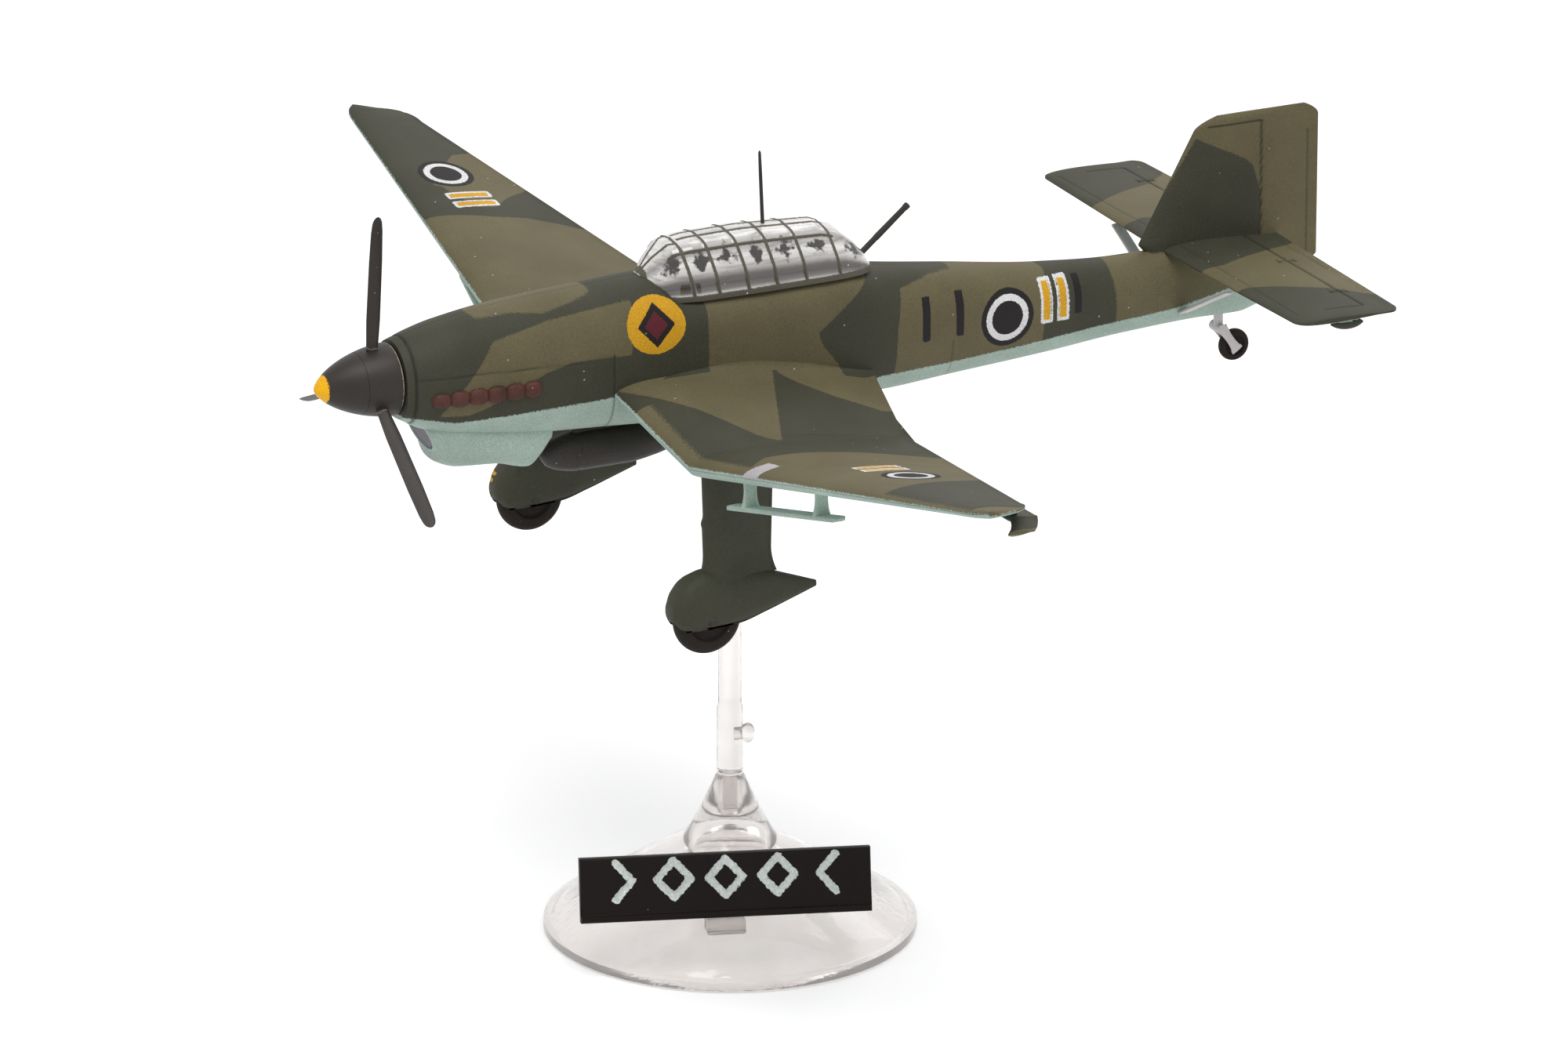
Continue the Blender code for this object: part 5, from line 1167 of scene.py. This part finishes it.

# ---------------------------------------------------------------- canopy, mast and gun
# One clear moulding with raised frames painted olive over glossy panes. The panes carry painted light:
# a silvery painted reflection above, a dark band of painted shade low down and dark painted shade
# blotches at each pane's middle. A thin mast stands on its roof and a gun points back from it.
CANOPY = np.array([
    # behind the tip, half width at the sill, top, share of the roof that is flat
    (-23.5, 0.9, 4.7, 0.5),
    (-24.4, 1.9, 5.75, 0.5),
    (-25.4, 2.55, 6.65, 0.5),
    (-26.8, 2.85, 6.85, 0.5),
    (-30.9, 2.95, 6.9, 0.52),
    (-36.2, 2.85, 6.6, 0.5),
    (-37.7, 2.75, 6.1, 0.5),
    (-38.9, 2.5, 5.1, 0.5),
    (-39.6, 2.1, 4.3, 0.5),
    (-40.1, 1.5, 3.6, 0.5),
])
SILL_HEIGHT = 3.0
HOOPS = (-26.15, -27.95, -30.1, -32.2, -34.4, -36.95)
canopy_x = near_lines(-23.45, -40.1, 0.12, HOOPS, 0.24)
sill, crown, roof = (np.interp(canopy_x, CANOPY[::-1, 0], CANOPY[::-1, k])[:, None] for k in (1, 2, 3))
tall = crown - SILL_HEIGHT
CORNERS = np.array([0.0, 0.22, 0.55, 0.78, 1.0])
around = near_lines(-1.0, 1.0, 0.014, (-0.66, 0.66, -0.04, 0.04), 0.02)[None]
reach = abs(around)
corners_y = np.stack([sill, sill * 0.99, sill * (0.5 + roof / 2), sill * roof, sill * 0], -1)[:, 0]
corners_z = np.stack([*(SILL_HEIGHT + share * tall for share in (0, 0.3, 0.72, 0.93)), crown], -1)[:, 0]
shell_y = np.stack([eased(reach[0], CORNERS, row) for row in corners_y]) * np.sign(around)
shell_z = np.stack([eased(reach[0], CORNERS, row) for row in corners_z])
station_x = canopy_x[:, None] + 0 * shell_y
hoop = np.max([0.12 - abs(station_x - 0.16 * (shell_z - 5) - mark) for mark in HOOPS], axis=0)
front_post = 0.12 - abs(abs(shell_y) - (0.55 + (-24.9 - station_x) * 0.35))
front_post = np.where(station_x > -26.0, front_post, -1.0)
rail = 0.10 - abs(reach - 0.66) * 4.2
rail = np.where((station_x < -25.0) & (station_x > -37.1), rail, -1.0)
roof_rail = np.where((station_x < -26.1) & (station_x > -36.9), 0.08 - abs(reach - 0.93) * 4.0, -1.0)
base_rail = 0.22 - (shell_z - 3.2)
front_rim = np.where(station_x > -26.3, 0.16 - abs(station_x + 23.65), -1.0)
framed = np.max([hoop, front_post, rail, roof_rail, base_rail, front_rim], axis=0)
raised = 0.07 * np.clip(framed / 0.06, 0, 1)
normal_y = shell_y / np.maximum(sill, 0.3)
normal_z = np.clip((shell_z - SILL_HEIGHT) / tall, 0, 1)
size = np.hypot(normal_y, normal_z) + 1e-6
shell_y = shell_y + raised * normal_y / size
shell_z = shell_z + raised * normal_z / size * (shell_z > 3.4)
shape = lofted(np.dstack([station_x, shell_y, shell_z]))
values = {
    "framed": np.concatenate([framed.ravel(), [-1, -1]]),
    "pane_top": np.concatenate([np.clip((shell_z - SILL_HEIGHT) / tall, 0, 1).ravel(), [0, 0]]),
}
middles = np.array([-25.2, -27.05, -29.0, -31.15, -33.3, -35.7, -38.5])
off = np.min([abs(station_x - m) for m in middles], axis=0)
values["from_middle"] = np.concatenate([off.ravel(), [0, 0]])

glazing, tree, shader = finish("canopy_glazing", Roughness=0.12, IOR=1.5, Coat_Weight=0.6)
stretched = add(tree, "ShaderNodeMapping", {"Vector": own_place(tree), "Scale": (0.35, 1.0, 3.0)}).outputs[0]
stripes = add(tree, "ShaderNodeTexNoise", {"Vector": stretched, "Scale": 1100.0, "Detail": 4.0})
# The panes' colour is painted light: a ramp up each pane paints a silvery reflection near the top and a dark band
# of painted shade low down.
height = stored(tree, "pane_top")
painted_reflection_ramp = add(tree, "ShaderNodeValToRGB", {"Fac": height})
ramp = painted_reflection_ramp.color_ramp.elements
ramp[0].position, ramp[0].color = 0.1, tint(226, 223, 220)
ramp[1].position, ramp[1].color = 1.0, tint(228, 226, 223)
for position, chip in (
    (0.17, (120, 114, 110)),
    (0.27, (66, 60, 57)),
    (0.38, (104, 98, 95)),
    (0.5, (200, 196, 193)),
    (0.66, (236, 234, 231)),
    (0.84, (160, 155, 152)),
):
    ramp.new(position).color = tint(*chip)
# Painted shade: a dark blotch at each pane's middle, a little above half height and ragged with noise, then dark
# streaks over the painted pane.
painted_shade_blotch = number(tree, "SUBTRACT", 0.72, number(tree, "MULTIPLY", stored(tree, "from_middle"), 0.62))
from_shade_blotch_band = number(tree, "ABSOLUTE", number(tree, "SUBTRACT", height, 0.68))
painted_shade_blotch = number(tree, "SUBTRACT", painted_shade_blotch, number(tree, "MULTIPLY", from_shade_blotch_band, 2.6))
cloudy = number(tree, "SUBTRACT", noise(tree, 2200.0, 5.0), 0.5)
painted_shade_blotch = number(tree, "ADD", painted_shade_blotch, number(tree, "MULTIPLY", cloudy, 1.5))
painted_light_pane = mixed(tree, ranged(tree, painted_shade_blotch, 0.22, 0.42), painted_reflection_ramp.outputs[0], tint(40, 35, 33))
streak = ranged(tree, stripes.outputs["Fac"], 0.5, 0.72)
painted_light_pane = mixed(tree, number(tree, "MULTIPLY", streak, 0.55), painted_light_pane, tint(84, 78, 76))
frame_mask = sprayed(tree, "framed", 0.12, 0.05)
colour = mixed(tree, frame_mask, painted_light_pane, tint(82, 78, 66))
grained(tree, shader, colour, tint(236, 234, 230), 0.000008, tone=0.07, cloud=0.06)
tree.links.new(ranged(tree, frame_mask, to_low=0.1, to_high=0.6), shader.inputs["Roughness"])
tree.links.new(ranged(tree, frame_mask, to_low=0.8, to_high=0.0), shader.inputs["Coat Weight"])
aircraft_piece("framed_canopy", shape, "canopy_clear", glazing, ["canopy"], sharp=60.0, **values)

dark, tree, shader = finish("dark_metal_paint", Roughness=0.5, Specular_IOR_Level=0.3)
grained(tree, shader, tint(52, 47, 44), tint(170, 166, 160), 0.00002, specks=0.35, tone=0.2, cloud=0.15)
for coat, *names in ((dark, "wheel_axle_left", "wheel_axle_right"), (silver, "tail_axle", "propeller_shaft")):
    for name in names:
        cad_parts[name].data.materials.clear()
        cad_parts[name].data.materials.append(coat)
mast = [(-0.1, 0.16), (0.0, 0.17), (0.3, 0.13), (4.0, 0.12), (5.35, 0.1), (5.5, 0.05)]
shape = turned(mast, (-32.8, 0, 6.35), (0.24, 0, 5.55), 24)
aircraft_piece("mast", shape, "dark_plastic", dark, ["aerial_mast"])
gun_back, gun_tip = np.array([-39.3, 0, 2.95]), np.array([-43.66, 0, 6.55])
length = np.linalg.norm(gun_tip - gun_back)
gun = [
    (0, 0.12), (0.05, 0.2), (2.4, 0.2), (2.5, 0.22), (length - 0.4, 0.2), (length - 0.35, 0.23),
    (length - 0.05, 0.23), (length, 0.1),
]
shape = turned(gun, gun_back, gun_tip - gun_back, 24)
aircraft_piece("defence_gun", shape, "dark_plastic", dark, ["rear_gun"])

# ---------------------------------------------------------------- bomb
# A blunt, smooth-bodied bomb with four crossed fins, glued to a short pylon under the belly.
BOMB_NOSE = np.array([-16.3, 0, -7.05])
BOMB = [(0, 0.1), (0.4, 0.75), (1.3, 1.15), (2.6, 1.35), (6.2, 1.35), (8.4, 1.08), (10.37, 0.567), (12.2, 0.25)]
bomb_at = np.linspace(0, 12.2, 60)
bomb_r = eased(bomb_at, *np.transpose(BOMB)) - groove(bomb_at - 2.7, 0.04, 0.12)
shapes = [turned(np.column_stack([bomb_at, bomb_r]), BOMB_NOSE, (-1, 0, 0), 64)]
run = np.linspace(9.0, 12.15, 12)[:, None, None]
high = (0.35 + 0.95 * np.clip((run - 9.0) / 1.6, 0, 1) ** 0.7) * np.where(run > 11.9, 0.93, 1.0)
ring = np.array([[0, -1], [1, -1], [1.0, 1], [0, 1]], float)
for quarter in np.radians((45, 135, 225, 315)):
    out = np.array([0, np.cos(quarter), np.sin(quarter)])
    thin = np.array([0, -np.sin(quarter), np.cos(quarter)])
    fin = BOMB_NOSE - np.array([1, 0, 0]) * run + out * (0.15 + (high - 0.15) * ring[None, :, :1])
    shapes.append(lofted(fin + thin * 0.09 * ring[None, :, 1:]))
shapes.append(bar((-22.2, -0.28, -6.4), (-18.6, 0.28, -4.9), 0.15))
aircraft_piece("bomb_with_fins", together(*shapes), "dark_plastic", dark, ["bomb"], sharp=35.0)

# ---------------------------------------------------------------- propeller
# Three slim twisted blades in a dark hub that turns on the shaft, and a pointed spinner with a
# yellow tip. The blades have a faint brown cast and pale scuffs at their roots.
turning, tree, shader = finish("propeller_paint", Roughness=0.45, Specular_IOR_Level=0.3)
colour = mixed(tree, sprayed(tree, "white", 0.12, 0.05), tint(48, 43, 39), tint(178, 162, 150))
colour = mixed(tree, sprayed(tree, "yellow", 0.25, 0.06), colour, tint(250, 186, 8))
grained(tree, shader, colour, tint(140, 132, 122), 0.000012, tone=0.14, cloud=0.15)
SPINNER_LENGTH, CAP_END, HUB_START = 5.4, 3.09, 3.11
BLADE_ROOT, BLADE_TIP, BLADE_BEHIND = 1.3, 11.82, 4.05


def spinner_radius(x):
    """Radius of the spinner behind its tip: a blunt ogive that ends at its back edge."""
    return 2.45 * (1 - np.clip(1 - x / SPINNER_LENGTH, 0, 1) ** 1.75) ** 0.65


cap_x = np.concatenate([[0.0], SPINNER_LENGTH * np.linspace(0.03, 1, 70) ** 1.7])
cap = cap_x[cap_x < CAP_END]
profile = np.column_stack([cap, np.maximum(spinner_radius(cap), 0.02)])
profile = np.concatenate([profile, [(CAP_END, float(spinner_radius(CAP_END)))]])
shape = turned(profile, NOSE, (-1, 0, 0), 96)
behind = NOSE[0] - shape[0][:, 0]
paint = {"yellow": 0.72 - behind, "white": np.full(len(behind), -1.0)}
make("spinner_cap", shape, "propeller_unit", "propeller_black", turning, ["spinner"], **paint)

hub = cap_x[cap_x > HUB_START]
profile = np.column_stack([hub, spinner_radius(hub)])[:-1]
front = [(HUB_START, 0.4), (HUB_START, float(spinner_radius(HUB_START)))]
profile = np.concatenate([front, profile, [(5.36, 2.44), (5.42, 2.40), (5.42, 0.5)]])
shapes = [turned(profile, NOSE, (-1, 0, 0), 96)]
reach = np.concatenate([np.linspace(0, 0.9, 60), 0.9 + 0.1 * np.sin(np.linspace(0.05, 1, 16) * np.pi / 2)])
radius = BLADE_ROOT + reach * (BLADE_TIP - BLADE_ROOT)
PLAN = [(0, 0.6), (0.12, 0.8), (0.3, 0.98), (0.7, 1.02), (0.9, 0.94), (0.96, 0.8), (0.985, 0.6), (1, 0.25)]
plan = 1.05 * np.interp(reach, *np.transpose(PLAN))
thick = 0.34 * (1.5 - reach) * np.clip((1.02 - reach) / 0.05, 0.2, 1)
pitch = np.radians(86 - 14 * reach)
share = chord_steps(20)
bulge = foil(share, 1.0, 0.04)
outline_c = np.concatenate([share - 0.5, (share - 0.5)[::-1]])
outline_t = np.concatenate([bulge * 1.3, -bulge[::-1] * 0.7])
c, t = plan[:, None] * outline_c, thick[:, None] * outline_t
cos, sin = np.cos(pitch)[:, None], np.sin(pitch)[:, None]
x, y = -BLADE_BEHIND + c * sin - t * cos, c * cos + t * sin
for angle in np.radians((7.1, 127.1, 247.1)):
    out = np.array([0, np.sin(angle), np.cos(angle)])
    beside = np.array([0, np.cos(angle), -np.sin(angle)])
    blade = np.array([1, 0, 0]) * x[..., None] + beside * y[..., None] + out * radius[:, None, None]
    shapes.append(lofted(blade + NOSE))
shape = together(*shapes)
local = shape[0] - NOSE
out = np.hypot(local[:, 1], local[:, 2])
on_hub = np.arange(len(out)) < len(shapes[0][0])
rim = np.where(on_hub & (out > 2.3), 0.05 - abs(local[:, 0] + SPINNER_LENGTH), -1.0)
paint = {"yellow": np.full(len(out), -1.0), "white": np.where(on_hub, rim, 0.06 - abs(out - 2.5))}
make("hub_and_blades", shape, "propeller_unit", "propeller_black", turning, ["propeller"], sharp=50.0, **paint)
